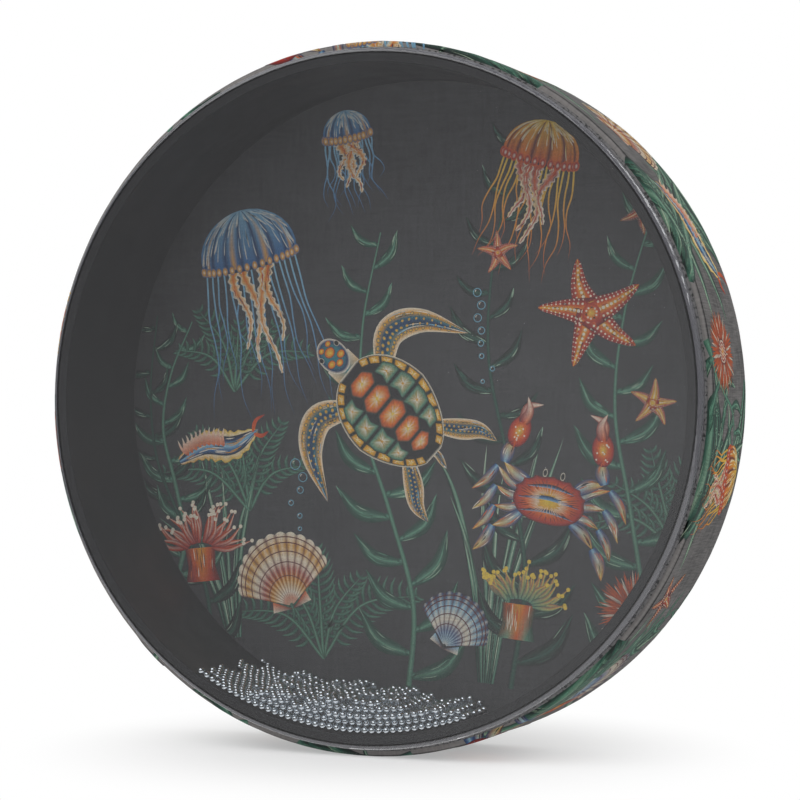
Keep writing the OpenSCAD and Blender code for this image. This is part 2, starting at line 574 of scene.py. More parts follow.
@dataclass
class FanWeed(Motif):
    """A low rosette of feathery weed, each frond a rib with a row of barbs on both sides."""

    reach: float = 52.0
    fronds: int = 5
    opening: float = 125.0
    barb_step: float = 3.3
    barb_share: float = 0.21
    tints: Shades = (Ink.DEEP_GREEN, Ink.WEED, Ink.LEAF)

    def draw(self, pen: Pen) -> None:
        """Draws the fronds upwards and outwards from the foot.

        Args:
            pen: Draws it.
        """
        dark, mid, pale = self.tints
        for k in range(self.fronds):
            angle = radians(90 + self.opening * (k / (self.fronds - 1) - 0.5))
            reach = self.reach * pen.dice.uniform(0.75, 1.05)
            rib = bowed((0, 0), (reach * cos(angle), reach * sin(angle)), 0.22 * cos(angle), 8)
            barbs = int(reach / self.barb_step)
            for j in range(3, barbs):
                share = j / barbs
                size = reach * self.barb_share * sin(pi * share) ** 0.6
                x, y = on_band(rib, [1] * len(rib), share, 0)
                for side in (-1, 1):
                    way = angle + side * radians(50)
                    barb = bowed((x, y), (x + size * cos(way), y + size * sin(way)), 0.14 * side, 3)
                    pen.band(barb, spindle(len(barb), 1.0, 0.3, 0.4), [dark, (mid, pale), dark])
            pen.above()
            pen.band(rib, spindle(len(rib), 0.9, 0.1, 0.8), [dark, pale, dark])


@dataclass
class Turtle(Motif):
    """A sea turtle from above, swimming towards +Y, its shell of scutes drawn one by one."""

    shell_length: float = 58.0
    shell_width: float = 47.0
    VERTEBRAL = ((1.0, 0.26), (0.6, 0.3), (0.18, 0.33), (-0.26, 0.31), (-0.66, 0.24), (-0.97, 0.1))

    def half_width(self, level: float) -> float:
        """Gives the shell's half width at a level from -1 at the tail to 1 at the neck."""
        taper = 1 - 0.2 * max(-level, 0)
        return self.shell_width / 2 * sqrt(max(1 - (level * 0.98) ** 2, 0.0)) ** 0.9 * taper

    def edge(self, side: int, level: float, share: float = 1.0) -> Point:
        """Finds a place between the shell's middle line and its edge."""
        return (side * self.half_width(level) * share, self.shell_length / 2 * level)

    def draw(self, pen: Pen) -> None:
        """Draws the limbs and head, then the shell over them.

        Args:
            pen: Draws it.
        """
        for side in (-1, 1):
            self._flipper(pen, [(side * 13, 17), (side * 27, 25), (side * 41, 17), (side * 52, -4)], 7.2)
            self._flipper(pen, [(side * 10, -20), (side * 17, -30), (side * 23, -38), (side * 25, -47)], 4.8)
        self._flipper(pen, [(0, -24), (1, -30), (0, -34), (-1, -38)], 1.8)
        self._head(pen)
        pen.above()
        self._shell(pen)

    def _flipper(self, pen: Pen, knots: list[Point], half_width: float) -> None:
        """Draws one flipper with pale edges and rows of scales.

        Args:
            pen: Draws it.
            knots: Points along its middle.
            half_width: Half its width at its fullest.
        """
        spine = smooth_curve(knots, 8)
        widths = spindle(len(spine), half_width, 0.38, 0.55)
        pen.band(spine, widths, [Ink.CREAM, Ink.GOLD, (Ink.DEEP_BLUE, Ink.TEAL), Ink.DEEP_BLUE,
                                 (Ink.TEAL, Ink.DEEP_BLUE), Ink.GOLD, Ink.CREAM])
        pen.above()
        for row in range(1, int(len(spine) * 0.62)):
            for place, side in enumerate((-0.6, -0.2, 0.2, 0.6)):
                share = (row + 0.5 * (place % 2)) / (len(spine) * 0.64)
                size = half_width * 0.17 * (1.15 - 0.6 * share)
                if share < 0.95:
                    centre = on_band(spine, widths, share, side)
                    pen.oval(centre, size, size * 0.8, [(0.0, Ink.YELLOW), (0.5, Ink.GOLD), (0.8, Ink.TEAL),
                                                        (1.0, Ink.NIGHT)], row * 20)
        pen.hatch(spine, widths, [Ink.SKY, Ink.NIGHT, Ink.CREAM], 16, 0.16, 0.2)

    def _head(self, pen: Pen) -> None:
        """Draws the neck and head with their plates.

        Args:
            pen: Draws it.
        """
        neck = smooth_curve([(0, 24), (0, 30), (0, 36)], 4)
        pen.band(neck, [7.5] * 9, [(Ink.GOLD, Ink.CREAM), Ink.TEAL, (Ink.GOLD, Ink.CREAM)])
        pen.above()
        pen.oval((0, 39), 7.2, 9.4,
                 [(0.0, Ink.TEAL), (0.55, Ink.TEAL), (0.85, Ink.DEEP_BLUE), (1.0, Ink.CREAM)])
        pen.above()
        plates = ((0, 41.5, 2.9), (-3.4, 37, 2.2), (3.4, 37, 2.2), (0, 34.6, 2.0), (-2.4, 45, 1.6),
                  (2.4, 45, 1.6))
        for x, y, r in plates:
            pen.oval((x, y), r, r * 0.85,
                     [(0.0, Ink.YELLOW), (0.55, Ink.GOLD), (0.82, Ink.ORANGE), (1.0, Ink.NIGHT)])
        for side in (-1, 1):
            pen.oval((side * 5.6, 42), 1.25, 1.5, [(0.0, Ink.NIGHT), (0.7, Ink.NIGHT), (1.0, Ink.CREAM)])

    def _shell(self, pen: Pen) -> None:
        """Draws the shell's rim, marginal plates, and middle and side scutes.

        Args:
            pen: Draws it.
        """
        levels = [cos(pi * k / 22) for k in range(23)]
        rim = [self.edge(1, level) for level in levels]
        rim += [self.edge(-1, level) for level in reversed(levels[1:-1])]
        pen.rings(rim, (0, 0), [(0.0, Ink.NIGHT), (0.96, Ink.NIGHT), (1.0, Ink.CREAM)])
        pen.above()
        for side in (-1, 1):
            for k in range(1, 21, 2):
                outline = [self.edge(side, levels[n], 0.97) for n in (k, k + 1, k + 2)]
                outline += [(x * 0.83, y * 0.86) for x, y in reversed(outline)]
                self._scute(pen, outline, (Ink.YELLOW, Ink.GOLD, Ink.DEEP_GREEN), 5, 0.9)
        self._inner_scutes(pen)

    def _inner_scutes(self, pen: Pen) -> None:
        """Draws the scutes along the back and the four on each side.

        Args:
            pen: Draws it.
        """
        inner = 0.84
        half, level = self.shell_width / 2, self.shell_length / 2 * inner
        for (top, wide), (low, narrow) in zip(self.VERTEBRAL, self.VERTEBRAL[1:]):
            middle = (top + low) / 2
            waist = max(wide, narrow) * 1.2
            outline = [(-wide * half * 0.8, top * level), (wide * half * 0.8, top * level),
                       (waist * half, middle * level), (narrow * half * 0.8, low * level),
                       (-narrow * half * 0.8, low * level), (-waist * half, middle * level)]
            self._scute(pen, outline, (Ink.YELLOW, Ink.ORANGE, Ink.DEEP_GREEN), 16, 0.93)
        cuts = (0.8, 0.4, -0.02, -0.44, -0.8)
        for side in (-1, 1):
            for top, low in zip(cuts, cuts[1:]):
                waist, middle = side * half * (0.4 if top > 0 else 0.36), (top + low) / 2
                outline = [self.edge(side, top * inner, 0.82), self.edge(side, middle * inner, 0.86),
                           self.edge(side, low * inner, 0.82), (waist * 0.82, low * level),
                           (waist, middle * level), (waist * 0.82, top * level)]
                self._scute(pen, outline, (Ink.GOLD, Ink.LEAF, Ink.DEEP_GREEN), 18, 0.93)

    def _scute(self, pen: Pen, outline: list[Point], tints: tuple[Ink, Ink, Ink], count: int,
               fill: float) -> None:
        """Draws one scute: shaded from its middle, with pencil rays towards its edge.

        Args:
            pen: Draws it.
            outline: Its corners.
            tints: Its colours at the middle, beyond it and by the edge.
            count: How many rays of each kind.
            fill: How much of the outline it fills.
        """
        heart, body, edge = tints
        centre = (sum(x for x, _ in outline) / len(outline), sum(y for _, y in outline) / len(outline))
        round_edge = []
        for (x0, y0), (x1, y1) in zip(outline, [*outline[1:], outline[0]]):
            round_edge += [(x0 + (x1 - x0) * t, y0 + (y1 - y0) * t) for t in (0.08, 0.36, 0.64, 0.92)]
        pen.rings(round_edge, centre,
                  [(0.0, heart), (0.76 * fill, body), (0.95 * fill, edge), (fill, Ink.NIGHT)])
        pen.above()
        pen.rays(centre, round_edge, (Ink.CREAM, body), count, (0.1, 0.78), 0.2)
        pen.rays(centre, round_edge, (body, edge), count, (0.55, 0.93), 0.2)


@dataclass
class Jellyfish(Motif):
    """A jellyfish with a ribbed bell, frilled arms and long thin tentacles, hanging towards -Y."""

    radius: float = 25.0
    rise: float = 24.0
    gores: int = 9
    trail: float = 82.0
    tints: Shades = (Ink.DEEP_BLUE, Ink.BLUE, Ink.SKY)
    warm: tuple[Tint, Tint] = (Ink.GOLD, Ink.CREAM)

    def draw(self, pen: Pen) -> None:
        """Draws the tentacles and arms, then the bell over them.

        Args:
            pen: Draws it.
        """
        dark, mid, pale = self.tints
        for k in range(17):
            start = self.radius * 0.92 * (k / 8 - 1)
            self._thread(pen, start, self.trail * pen.dice.uniform(0.55, 1.0))
        pen.above()
        for k, start in enumerate((-0.32, -0.1, 0.12, 0.33)):
            self._arm(pen, start * self.radius, self.trail * (0.5 + 0.09 * (k % 3)))
        pen.above()
        pen.oval((0, 0), self.radius * 0.97, self.rise * 0.2, [(0.0, dark), (0.8, dark), (1.0, Ink.NIGHT)])
        pen.above()
        for k in range(self.gores):
            self._gore(pen, k)
        pen.above()
        for k in range(self.gores * 2):
            x = self.radius * sin(radians(85 * (2 * (k + 0.5) / (self.gores * 2) - 1)))
            drop = -self.rise * 0.13 * sqrt(max(1 - (x / self.radius) ** 2, 0))
            pen.oval((x, drop), 1.5, 2.3, [(0.0, self.warm[1]), (0.55, self.warm[0]), (1.0, mid)])

    def _gore(self, pen: Pen, index: int) -> None:
        """Draws one rib of the bell between two of its creases.

        Args:
            pen: Draws it.
            index: The rib's number from the left.
        """
        dark, mid, pale = self.tints
        rows, shades = [], []
        edges = [radians(90 * (2 * (index + t / 4) / self.gores - 1)) for t in range(5)]
        for step in range(10):
            up = radians(90 * step / 9)
            bulge = 1 + 0.06 * sin(2 * up)
            sag = self.rise * 0.13 * cos(up)
            rows.append([(self.radius * bulge * sin(a) * cos(up),
                          self.rise * sin(up) - sag * cos(a)) for a in edges])
            crown = step / 9
            heart = mixed(light(self.warm[0] if index % 2 else mid), light(pale), crown)
            shades.append([light(dark), mixed(light(mid), light(pale), crown), heart,
                           mixed(light(mid), light(pale), crown), light(dark)])
        pen.patch(rows, shades)
        pen.above()
        for _ in range(7):
            a = pen.dice.uniform(edges[0], edges[-1])
            low = pen.dice.uniform(0.05, 0.7)
            ends = []
            for up in (radians(90 * low), radians(90 * min(low + 0.28, 0.97))):
                sag = self.rise * 0.13 * cos(up) * cos(a)
                ends.append((self.radius * sin(a) * cos(up), self.rise * sin(up) - sag))
            pen.stroke(ends[0], ends[1], 0.24, (Ink.CREAM, pale), 0.03)

    def _thread(self, pen: Pen, start: float, length: float) -> None:
        """Draws one tentacle.

        Args:
            pen: Draws it.
            start: Its place along the bell's edge.
            length: Its length.
        """
        phase, swing = pen.dice.uniform(0, tau), pen.dice.uniform(1.6, 3.6)
        knots = [(start * (1 + 0.35 * k / 6) + swing * k / 6 * sin(phase + 1.5 * k), -length * k / 6)
                 for k in range(7)]
        spine = smooth_curve(knots, 6)
        pen.band(spine, spindle(len(spine), 0.42, 0.1, 0.9), [(self.tints[2], self.tints[1])] * 2)

    def _arm(self, pen: Pen, start: float, length: float) -> None:
        """Draws one frilled arm.

        Args:
            pen: Draws it.
            start: Its place under the bell.
            length: Its length.
        """
        phase = pen.dice.uniform(0, tau)
        knots = [(start + 2.6 * sin(phase + 1.2 * k), -length * k / 6) for k in range(7)]
        spine = smooth_curve(knots, 8)
        count = len(spine)
        widths = [2.7 * (1 - 0.75 * i / count) * (1 + 0.32 * sin(i * 1.55)) for i in range(count)]
        pen.band(spine, widths, [Ink.CREAM, self.warm, (Ink.ORANGE, self.warm[0]), self.warm,
                                 (Ink.CREAM, self.tints[2])])
        pen.above()
        pen.hatch(spine, widths, [Ink.CREAM, Ink.RED, self.tints[0]], 12, 0.1, 0.2)


@dataclass
class SeaStar(Motif):
    """A sea star with ridged arms and rows of knobs."""

    radius: float = 24.0
    tints: Shades = (Ink.RED, Ink.ORANGE, Ink.GOLD)
    arms: int = 5

    def draw(self, pen: Pen) -> None:
        """Draws the arms one after another and the disc over them.

        Args:
            pen: Draws it.
        """
        dark, mid, pale = self.tints
        for k in range(self.arms):
            way = radians(90 + 360 * k / self.arms + pen.dice.uniform(-5, 5))
            tip = (self.radius * cos(way), self.radius * sin(way))
            spine = bowed((0, 0), tip, pen.dice.uniform(-0.09, 0.09), 6)
            half = self.radius * 0.27
            widths = [half * (1 - 0.86 * (i / (len(spine) - 1)) ** 1.25) for i in range(len(spine))]
            widths[-1] = half * 0.04
            pen.band(spine, widths, [(Ink.WINE, dark), dark, mid, (pale, Ink.YELLOW), mid,
                                     dark, (Ink.WINE, dark)])
            pen.above()
            pen.hatch(spine, widths, [pale, dark, Ink.WINE], 22, 0.13, self.radius * 0.009)
            for side, size in ((0.0, 0.03), (0.56, 0.02), (-0.56, 0.02), (0.88, 0.014), (-0.88, 0.014)):
                for j in range(2, 12):
                    knob = self.radius * size * (1.25 - 0.06 * j)
                    pen.dot(on_band(spine, widths, j / 12.5 + 0.03 * (side != 0), side), knob, Ink.CREAM)
        pen.above()
        pen.oval((0, 0), self.radius * 0.17, self.radius * 0.17, [(0.0, Ink.YELLOW), (0.6, mid), (1.0, dark)])
        for k in range(10):
            way = tau * k / 10
            knob = (self.radius * 0.1 * cos(way), self.radius * 0.1 * sin(way))
            pen.dot(knob, self.radius * 0.02, Ink.CREAM)


@dataclass
class Scallop(Motif):
    """A scallop shell with its hinge at the origin, its ribs fanning towards +Y."""

    length: float = 34.0
    ribs: int = 13
    fan: float = 62.0
    zones: tuple[Tint, ...] = (Ink.CREAM, Ink.ORANGE, Ink.CREAM, Ink.GOLD, Ink.RED, Ink.CREAM, Ink.GOLD,
                               Ink.CREAM)

    def reach(self, turn: float) -> float:
        """Gives the shell's length at an angle from its middle, as a share of the fan."""
        return self.length * (1 - 0.22 * turn ** 2)

    def draw(self, pen: Pen) -> None:
        """Draws the ears, then the ribs and the growth lines over them.

        Args:
            pen: Draws it.
        """
        for side in (-1, 1):
            root = (0, -1.5)
            tip = [(side * self.length * 0.3, -0.5), (side * self.length * 0.26, self.length * 0.13)]
            pen.patch([[root, root], tip],
                      [[light(Ink.WINE)] * 2, [light(self.zones[0]), light(self.zones[1])]])
        pen.above()
        for k in range(self.ribs):
            self._rib(pen, k)
        pen.above()
        for share in (0.42, 0.61, 0.76, 0.88, 0.96):
            line = [self._place(2 * t / 40 - 1, share) for t in range(41)]
            pen.band(line, [0.16 + 0.1 * share] * 41, [Ink.WINE] * 2)

    def _place(self, turn: float, share: float) -> Point:
        """Finds a place on the shell from its angle and its share of the length."""
        way = radians(90 - self.fan * turn)
        reach = self.reach(turn) * share
        return (reach * cos(way), reach * sin(way))

    def _rib(self, pen: Pen, index: int) -> None:
        """Draws one rounded rib, light along its crest and scalloped at its end.

        Args:
            pen: Draws it.
            index: The rib's number from one side.
        """
        rows, shades = [], []
        for step in range(13):
            share = 0.04 + 0.96 * step / 12
            turns = [2 * (index + t / 4) / self.ribs - 1 for t in range(5)]
            ends = [1 + 0.035 * sin(pi * t / 4) * (step == 12) for t in range(5)]
            rows.append([self._place(turn, share * end) for turn, end in zip(turns, ends)])
            zone = share ** 0.8 * (len(self.zones) - 1)
            after = min(int(zone) + 1, len(self.zones) - 1)
            crest = mixed(light(self.zones[int(zone)]), light(self.zones[after]), zone % 1)
            valley = mixed(crest, light(Ink.WINE), 0.75)
            shades.append([valley, crest, mixed(crest, light(Ink.CREAM), 0.5), crest, valley])
        pen.patch(rows, shades)


@dataclass
class Crab(Motif):
    """A swimming crab from above, facing +Y, with banded legs and raised claws."""

    width: float = 34.0
    depth: float = 22.0

    def draw(self, pen: Pen) -> None:
        """Draws the legs and claws, then the back over them.

        Args:
            pen: Draws it.
        """
        for side in (-1, 1):
            for k in range(4):
                lift = 6 - 8 * k
                knots = [(side * 12, lift * 0.4), (side * (27 - k), lift + 5 - k),
                         (side * (37 - 2 * k), lift - 8 - k)]
                self._limb(pen, knots, 2.3 if k < 3 else 3.0)
            self._limb(pen, [(side * 11, 7), (side * 24, 13), (side * 21, 24)], 3.3)
            self._claw(pen, side)
        pen.above()
        self._back(pen)

    def _limb(self, pen: Pen, knots: list[Point], half_width: float) -> None:
        """Draws a leg as two banded links.

        Args:
            pen: Draws it.
            knots: Its root, its knee and its tip.
            half_width: Half the width of a link.
        """
        for start, end in zip(knots, knots[1:]):
            spine = bowed(start, end, 0.08, 5)
            widths = spindle(len(spine), half_width, 0.4, 0.6)
            pen.band(spine, widths, [Ink.DEEP_BLUE, (Ink.BLUE, Ink.GOLD), (Ink.SKY, Ink.YELLOW),
                                     (Ink.BLUE, Ink.GOLD), Ink.DEEP_BLUE])
            pen.above()
            pen.hatch(spine, widths, [Ink.CREAM, Ink.NIGHT, Ink.ORANGE], 7, 0.3, 0.2)

    def _claw(self, pen: Pen, side: int) -> None:
        """Draws a claw's palm and its two fingers.

        Args:
            pen: Draws it.
            side: 1 for the right, -1 for the left.
        """
        palm = [(0.0, Ink.YELLOW), (0.45, Ink.ORANGE), (0.85, Ink.RED), (1.0, Ink.WINE)]
        pen.oval((side * 20, 28), 5.2, 7.6, palm, 14 * side)
        pen.above()
        edge = (Ink.WINE, Ink.RED)
        for reach, bow in (((side * 11, 42), -0.3 * side), ((side * 19, 44), 0.16 * side)):
            spine = bowed((side * 19, 32), reach, bow, 6)
            pen.band(spine, spindle(len(spine), 2.4, 0.15, 0.8),
                     [edge, (Ink.RED, Ink.CREAM), (Ink.ORANGE, Ink.CREAM), edge])
        for k in range(10):
            x, y = pen.dice.uniform(-3, 3), pen.dice.uniform(-5, 5)
            pen.dot((side * 20 + x, 28 + y), 0.42, Ink.CREAM)

    def _back(self, pen: Pen) -> None:
        """Draws the back: toothed at its front, striped across.

        Args:
            pen: Draws it.
        """
        outline = []
        for k in range(48):
            a = tau * k / 48
            tooth = 1 + (0.05 if k % 3 == 0 else -0.02) * (sin(a) > 0.1)
            x = self.width / 2 * copysign(abs(cos(a)) ** 0.8, cos(a)) * tooth
            outline.append((x, self.depth / 2 * sin(a) * tooth * (1.0 if sin(a) > 0 else 0.92)))
        pen.rings(outline, (0, 0), [(0.0, Ink.YELLOW), (0.35, Ink.GOLD), (0.62, Ink.ORANGE), (0.9, Ink.RED),
                                    (1.0, Ink.WINE)])
        pen.above()
        stripes = ((0.62, 0.9, Ink.DEEP_BLUE), (0.1, 1.0, Ink.BLUE), (-0.42, 0.8, Ink.DEEP_BLUE))
        for share, half, tint in stripes:
            y, x = self.depth / 2 * share, self.width / 2 * 0.86 * sqrt(1 - share ** 2)
            stripe = bowed((-x, y - 1.5), (x, y - 1.5), 0.07, 8)
            pen.band(stripe, spindle(len(stripe), half, 0.5, 0.1), [Ink.NIGHT, tint, Ink.SKY])
        pen.above()
        pen.rays((0, 0), outline, (Ink.CREAM, Ink.ORANGE), 60, (0.3, 0.75), 0.2)
        pen.rays((0, 0), outline, Ink.WINE, 40, (0.6, 0.95), 0.2)
        for side in (-1, 1):
            pen.oval((side * 4.2, self.depth / 2 + 1.4), 1.1, 1.9,
                     [(0.0, Ink.NIGHT), (0.6, Ink.NIGHT), (1.0, Ink.CREAM)])


@dataclass
class Urchin(Motif):
    """A sea urchin: a low dome of dots within a burst of spines."""

    radius: float = 19.0
    spines: int = 96
    tints: tuple[Tint, Tint] = (Ink.WINE, Ink.ORANGE)

    def draw(self, pen: Pen) -> None:
        """Draws the spines from the back to the front and the dome among them.

        Args:
            pen: Draws it.
        """
        for layer, (near, far) in enumerate(((0.3, 1.0), (0.2, 0.8), (0.12, 0.55))):
            count = self.spines // (layer + 1)
            for k in range(count):
                way = tau * (k + pen.dice.uniform(-0.4, 0.4)) / count
                reach = self.radius * far * pen.dice.uniform(0.78, 1.0)
                pen.stroke((self.radius * near * cos(way), self.radius * near * sin(way)),
                           (reach * cos(way), reach * sin(way)), 0.5,
                           (self.tints[0], Ink.CREAM if k % 5 == 0 else self.tints[1]))
            pen.above()
        pen.oval((0, 0), self.radius * 0.3, self.radius * 0.27,
                 [(0.0, Ink.GOLD), (0.5, Ink.RED), (1.0, Ink.WINE)])
        pen.above()
        for ring in range(1, 4):
            for k in range(ring * 6):
                way = tau * k / (ring * 6)
                out = self.radius * ring
                pen.dot((0.08 * out * cos(way), 0.075 * out * sin(way)), 0.42, Ink.CREAM)


@dataclass
class Anemone(Motif):
    """A sea anemone: a short column crowned with tapering tentacles."""

    spread: float = 21.0
    tentacles: int = 44
    tints: Shades = (Ink.WINE, Ink.RED, Ink.CREAM)

    def draw(self, pen: Pen) -> None:
        """Draws the column and the tentacles, the outer ones first.

        Args:
            pen: Draws it.
        """
        dark, mid, tip = self.tints
        pen.band([(0, -16), (0, -9), (0, 0)], [9, 7.2, 8], [dark, (mid, Ink.ORANGE), (Ink.ORANGE, Ink.GOLD),
                                                             (mid, Ink.ORANGE), dark])
        pen.above()
        pen.hatch([(0, -15), (0, -9), (0, 0)], [8, 7, 8], [dark, Ink.CREAM, Ink.ORANGE], 20, 0.4)
        for k in range(self.tentacles):
            share = k / (self.tentacles - 1)
            low, high = (-12, 192) if k < self.tentacles / 2 else (20, 160)
            way = radians(pen.dice.uniform(low, high))
            start = (6.5 * cos(way), 2.4 * sin(way))
            reach = self.spread * (1.05 - 0.5 * share) * pen.dice.uniform(0.85, 1.05)
            end = (start[0] + reach * cos(way), start[1] + reach * 0.85 * sin(way) + 3)
            spine = bowed(start, end, pen.dice.uniform(-0.16, 0.16), 5)
            pen.band(spine, spindle(len(spine), 1.25, 0.25, 0.7),
                     [(dark, mid), (mid, Ink.ORANGE), (mid, tip), (dark, mid)])
            pen.above()
            pen.dot(end, 0.95, tip)


@dataclass
class SeaSlug(Motif):
    """A sea slug with a frilled skirt and a row of plumes on its back, crawling towards +X."""

    length: float = 46.0

    def draw(self, pen: Pen) -> None:
        """Draws the skirt, the back, its plumes and horns.

        Args:
            pen: Draws it.
        """
        far, near = self.length / 2, self.length / 6
        spine = smooth_curve([(-far, -2), (-near, 2), (near, -1), (far, 3)], 10)
        count = len(spine)
        frill = [w * (1 + 0.12 * sin(i * 1.9)) for i, w in enumerate(spindle(count, 7.4, 0.55, 0.2))]
        pen.band(spine, frill, [(Ink.GOLD, Ink.YELLOW), Ink.CREAM, (Ink.BLUE, Ink.DEEP_BLUE),
                                Ink.CREAM, (Ink.GOLD, Ink.YELLOW)])
        pen.above()
        back = spindle(count, 4.6, 0.55, 0.2)
        pen.band(spine, back, [Ink.NIGHT, Ink.DEEP_BLUE, Ink.SKY, Ink.BLUE, Ink.NIGHT])
        pen.above()
        pen.hatch(spine, back, [Ink.CREAM, Ink.GOLD, Ink.NIGHT], 34, 0.14)
        for side in (-1, 1):
            pen.stroke(on_band(spine, back, 0.93, 0.4 * side), (far + 5, 5 + 4 * side), 1.0,
                       (Ink.ORANGE, Ink.RED), 0.2 * side)
        for k in range(9):
            root = on_band(spine, back, 0.12 + 0.055 * k, 0)
            for lean in (-0.5, 0.0, 0.5):
                pen.stroke(root, (root[0] + 6 * lean - 1, root[1] + 8.5), 0.75, (Ink.ORANGE, Ink.CREAM), 0.1)


@dataclass
class Bubbles(Motif):
    """A rising chain of bubbles, each a thin ring with a light on it."""

    rise: float = 46.0
    count: int = 8

    def draw(self, pen: Pen) -> None:
        """Draws the bubbles from the lowest up.

        Args:
            pen: Draws it.
        """
        for k in range(self.count):
            x, y = pen.dice.uniform(-4, 4), self.rise * k / self.count
            radius = 0.9 + 1.7 * k / self.count * pen.dice.uniform(0.6, 1.2)
            turns = [tau * j / 20 for j in range(21)]
            ring = [(x + radius * cos(turn), y + radius * sin(turn)) for turn in turns]
            pen.band(ring, [0.22] * 21, [Ink.SKY, Ink.TEAL])
            pen.stroke((x - radius * 0.5, y + radius * 0.1), (x - 0.1, y + radius * 0.6), 0.2, Ink.CREAM, 0.3)


@dataclass(frozen=True)
class Placing:
    """Where one motif lies on the cloth.

    Attributes:
        motif: What is drawn.
        at: Its place in millimetres.
        turn: Its anticlockwise turn in degrees.
        scale: Its size against its drawn size.
        flip: Whether it is mirrored.
    """

    motif: Motif
    at: Point
    turn: float = 0.0
    scale: float = 1.0
    flip: bool = False


def compose(*layers: Sequence[Placing]) -> Artwork:
    """Draws motifs over one another.

    Args:
        layers: The motifs and where they lie, the hindmost first.

    Returns:
        The finished artwork.
    """
    art = Artwork()
    for k, layer in enumerate(layers):
        for placing in layer:
            base = INK_BASE + INK_LAYER * k
            pen = Pen(art, placing.at, placing.turn, placing.scale, placing.flip, base)
            placing.motif.draw(pen)
    return art


class Surface:
    """A face of cloth that ink is laid on. Its flat places are in millimetres, its real ones in metres.

    Attributes:
        FREE: Longest piece of ink where the face is flat.
        SHORT: Longest piece near an edge.
        SHORTEST: Longest piece round a bend.
        MARGIN: How far from an edge the face counts as flat.
    """

    FREE, SHORT, SHORTEST, MARGIN = 60.0, 2.0, 0.5, 12.0

    def clipped(self, u: Array, v: Array) -> tuple[Array, Array, Array]:
        """Brings places back to the edge of the face.

        Args:
            u: Flat places to the right.
            v: Flat places upwards.

        Returns:
            The places kept on the face, and whether each lay beyond it.
        """
        raise NotImplementedError

    def place(self, u: Array, v: Array, lift: Array | float) -> Array:
        """Takes flat places to the real face.

        Args:
            u: Flat places to the right in millimetres.
            v: Flat places upwards in millimetres.
            lift: Height over the face in millimetres.

        Returns:
            One row of x, y and z in metres for each place.
        """
        raise NotImplementedError

    def longest(self, u: float, v: float) -> float:
        """Gives the longest piece of ink, in millimetres, that still follows the face there."""
        raise NotImplementedError


def drawn_in(u: Array, v: Array, reach: float) -> tuple[Array, Array, Array]:
    """Brings places beyond a radius in to it.

    Args:
        u: Flat places to the right.
        v: Flat places upwards.
        reach: The radius.

    Returns:
        The places within the radius, and whether each lay beyond it.
    """
    radius = np.hypot(u, v)
    share = np.minimum(1, reach / np.maximum(radius, TINY))
    return u * share, v * share, radius > reach


@dataclass
class HeadInside(Surface):
    """The inner face of the printed head, seen through the clear one. Its edge is the shell's bore."""

    axis_z: float
    face_y: float
    bore_r: float
    edge_gap: float = 0.15

    def clipped(self, u: Array, v: Array) -> tuple[Array, Array, Array]:
        """Draws places beyond the bore in to its edge."""
        return drawn_in(u, v, self.bore_r / MM - self.edge_gap)

    def place(self, u: Array, v: Array, lift: Array | float) -> Array:
        """Lays places on the flat inner face."""
        return np.stack([u * MM, self.face_y - lift * MM + 0 * u, self.axis_z + v * MM], axis=-1)

    def longest(self, u: float, v: float) -> float:
        """Lets ink run on, as the face is flat, but for its edge."""
        return self.FREE if hypot(u, v) < self.bore_r / MM - self.MARGIN else self.SHORT


@dataclass
class HeadOutside(Surface):
    """The outer face of the printed head, with its turn over the bearing edge and its skirt."""

    axis_z: float
    face_y: float
    skirt_r: float
    turn_r: float
    skirt_run: float

    def clipped(self, u: Array, v: Array) -> tuple[Array, Array, Array]:
        """Draws places beyond the skirt's end in to it."""
        flat_r = self.skirt_r / MM - self.turn_r
        return drawn_in(u, v, flat_r + self.turn_r * pi / 2 + self.skirt_run)

    def place(self, u: Array, v: Array, lift: Array | float) -> Array:
        """Lays places on the face, seen from behind, and round its edge.

        Args:
            u: Flat places to the right.
            v: Flat places upwards.
            lift: Height over the face in millimetres.

        Returns:
            One row of x, y and z in metres for each place.
        """
        flat_r, turn = self.skirt_r / MM - self.turn_r, self.turn_r
        radius = np.hypot(u, v)
        over = radius - flat_r
        angle = np.clip(over / turn, 0, pi / 2)
        down = np.maximum(over - turn * pi / 2, 0)
        reach = np.where(over > 0, flat_r + (turn + lift) * np.sin(angle), radius)
        depth = np.where(over > 0, turn - (turn + lift) * np.cos(angle) + down, -lift + 0 * radius)
        unit = np.maximum(radius, TINY)
        x, z = -u / unit * reach * MM, self.axis_z + v / unit * reach * MM
        return np.stack([x, self.face_y - depth * MM, z], axis=-1)

    def longest(self, u: float, v: float) -> float:
        """Cuts ink up finely over the turned edge.

        Args:
            u: Flat places to the right.
            v: Flat places upwards.

        Returns:
            The longest piece in millimetres.
        """
        over = hypot(u, v) - (self.skirt_r / MM - self.turn_r)
        if over < -self.MARGIN:
            return self.FREE
        return self.SHORTEST if -1 <= over <= 4.5 else self.SHORT


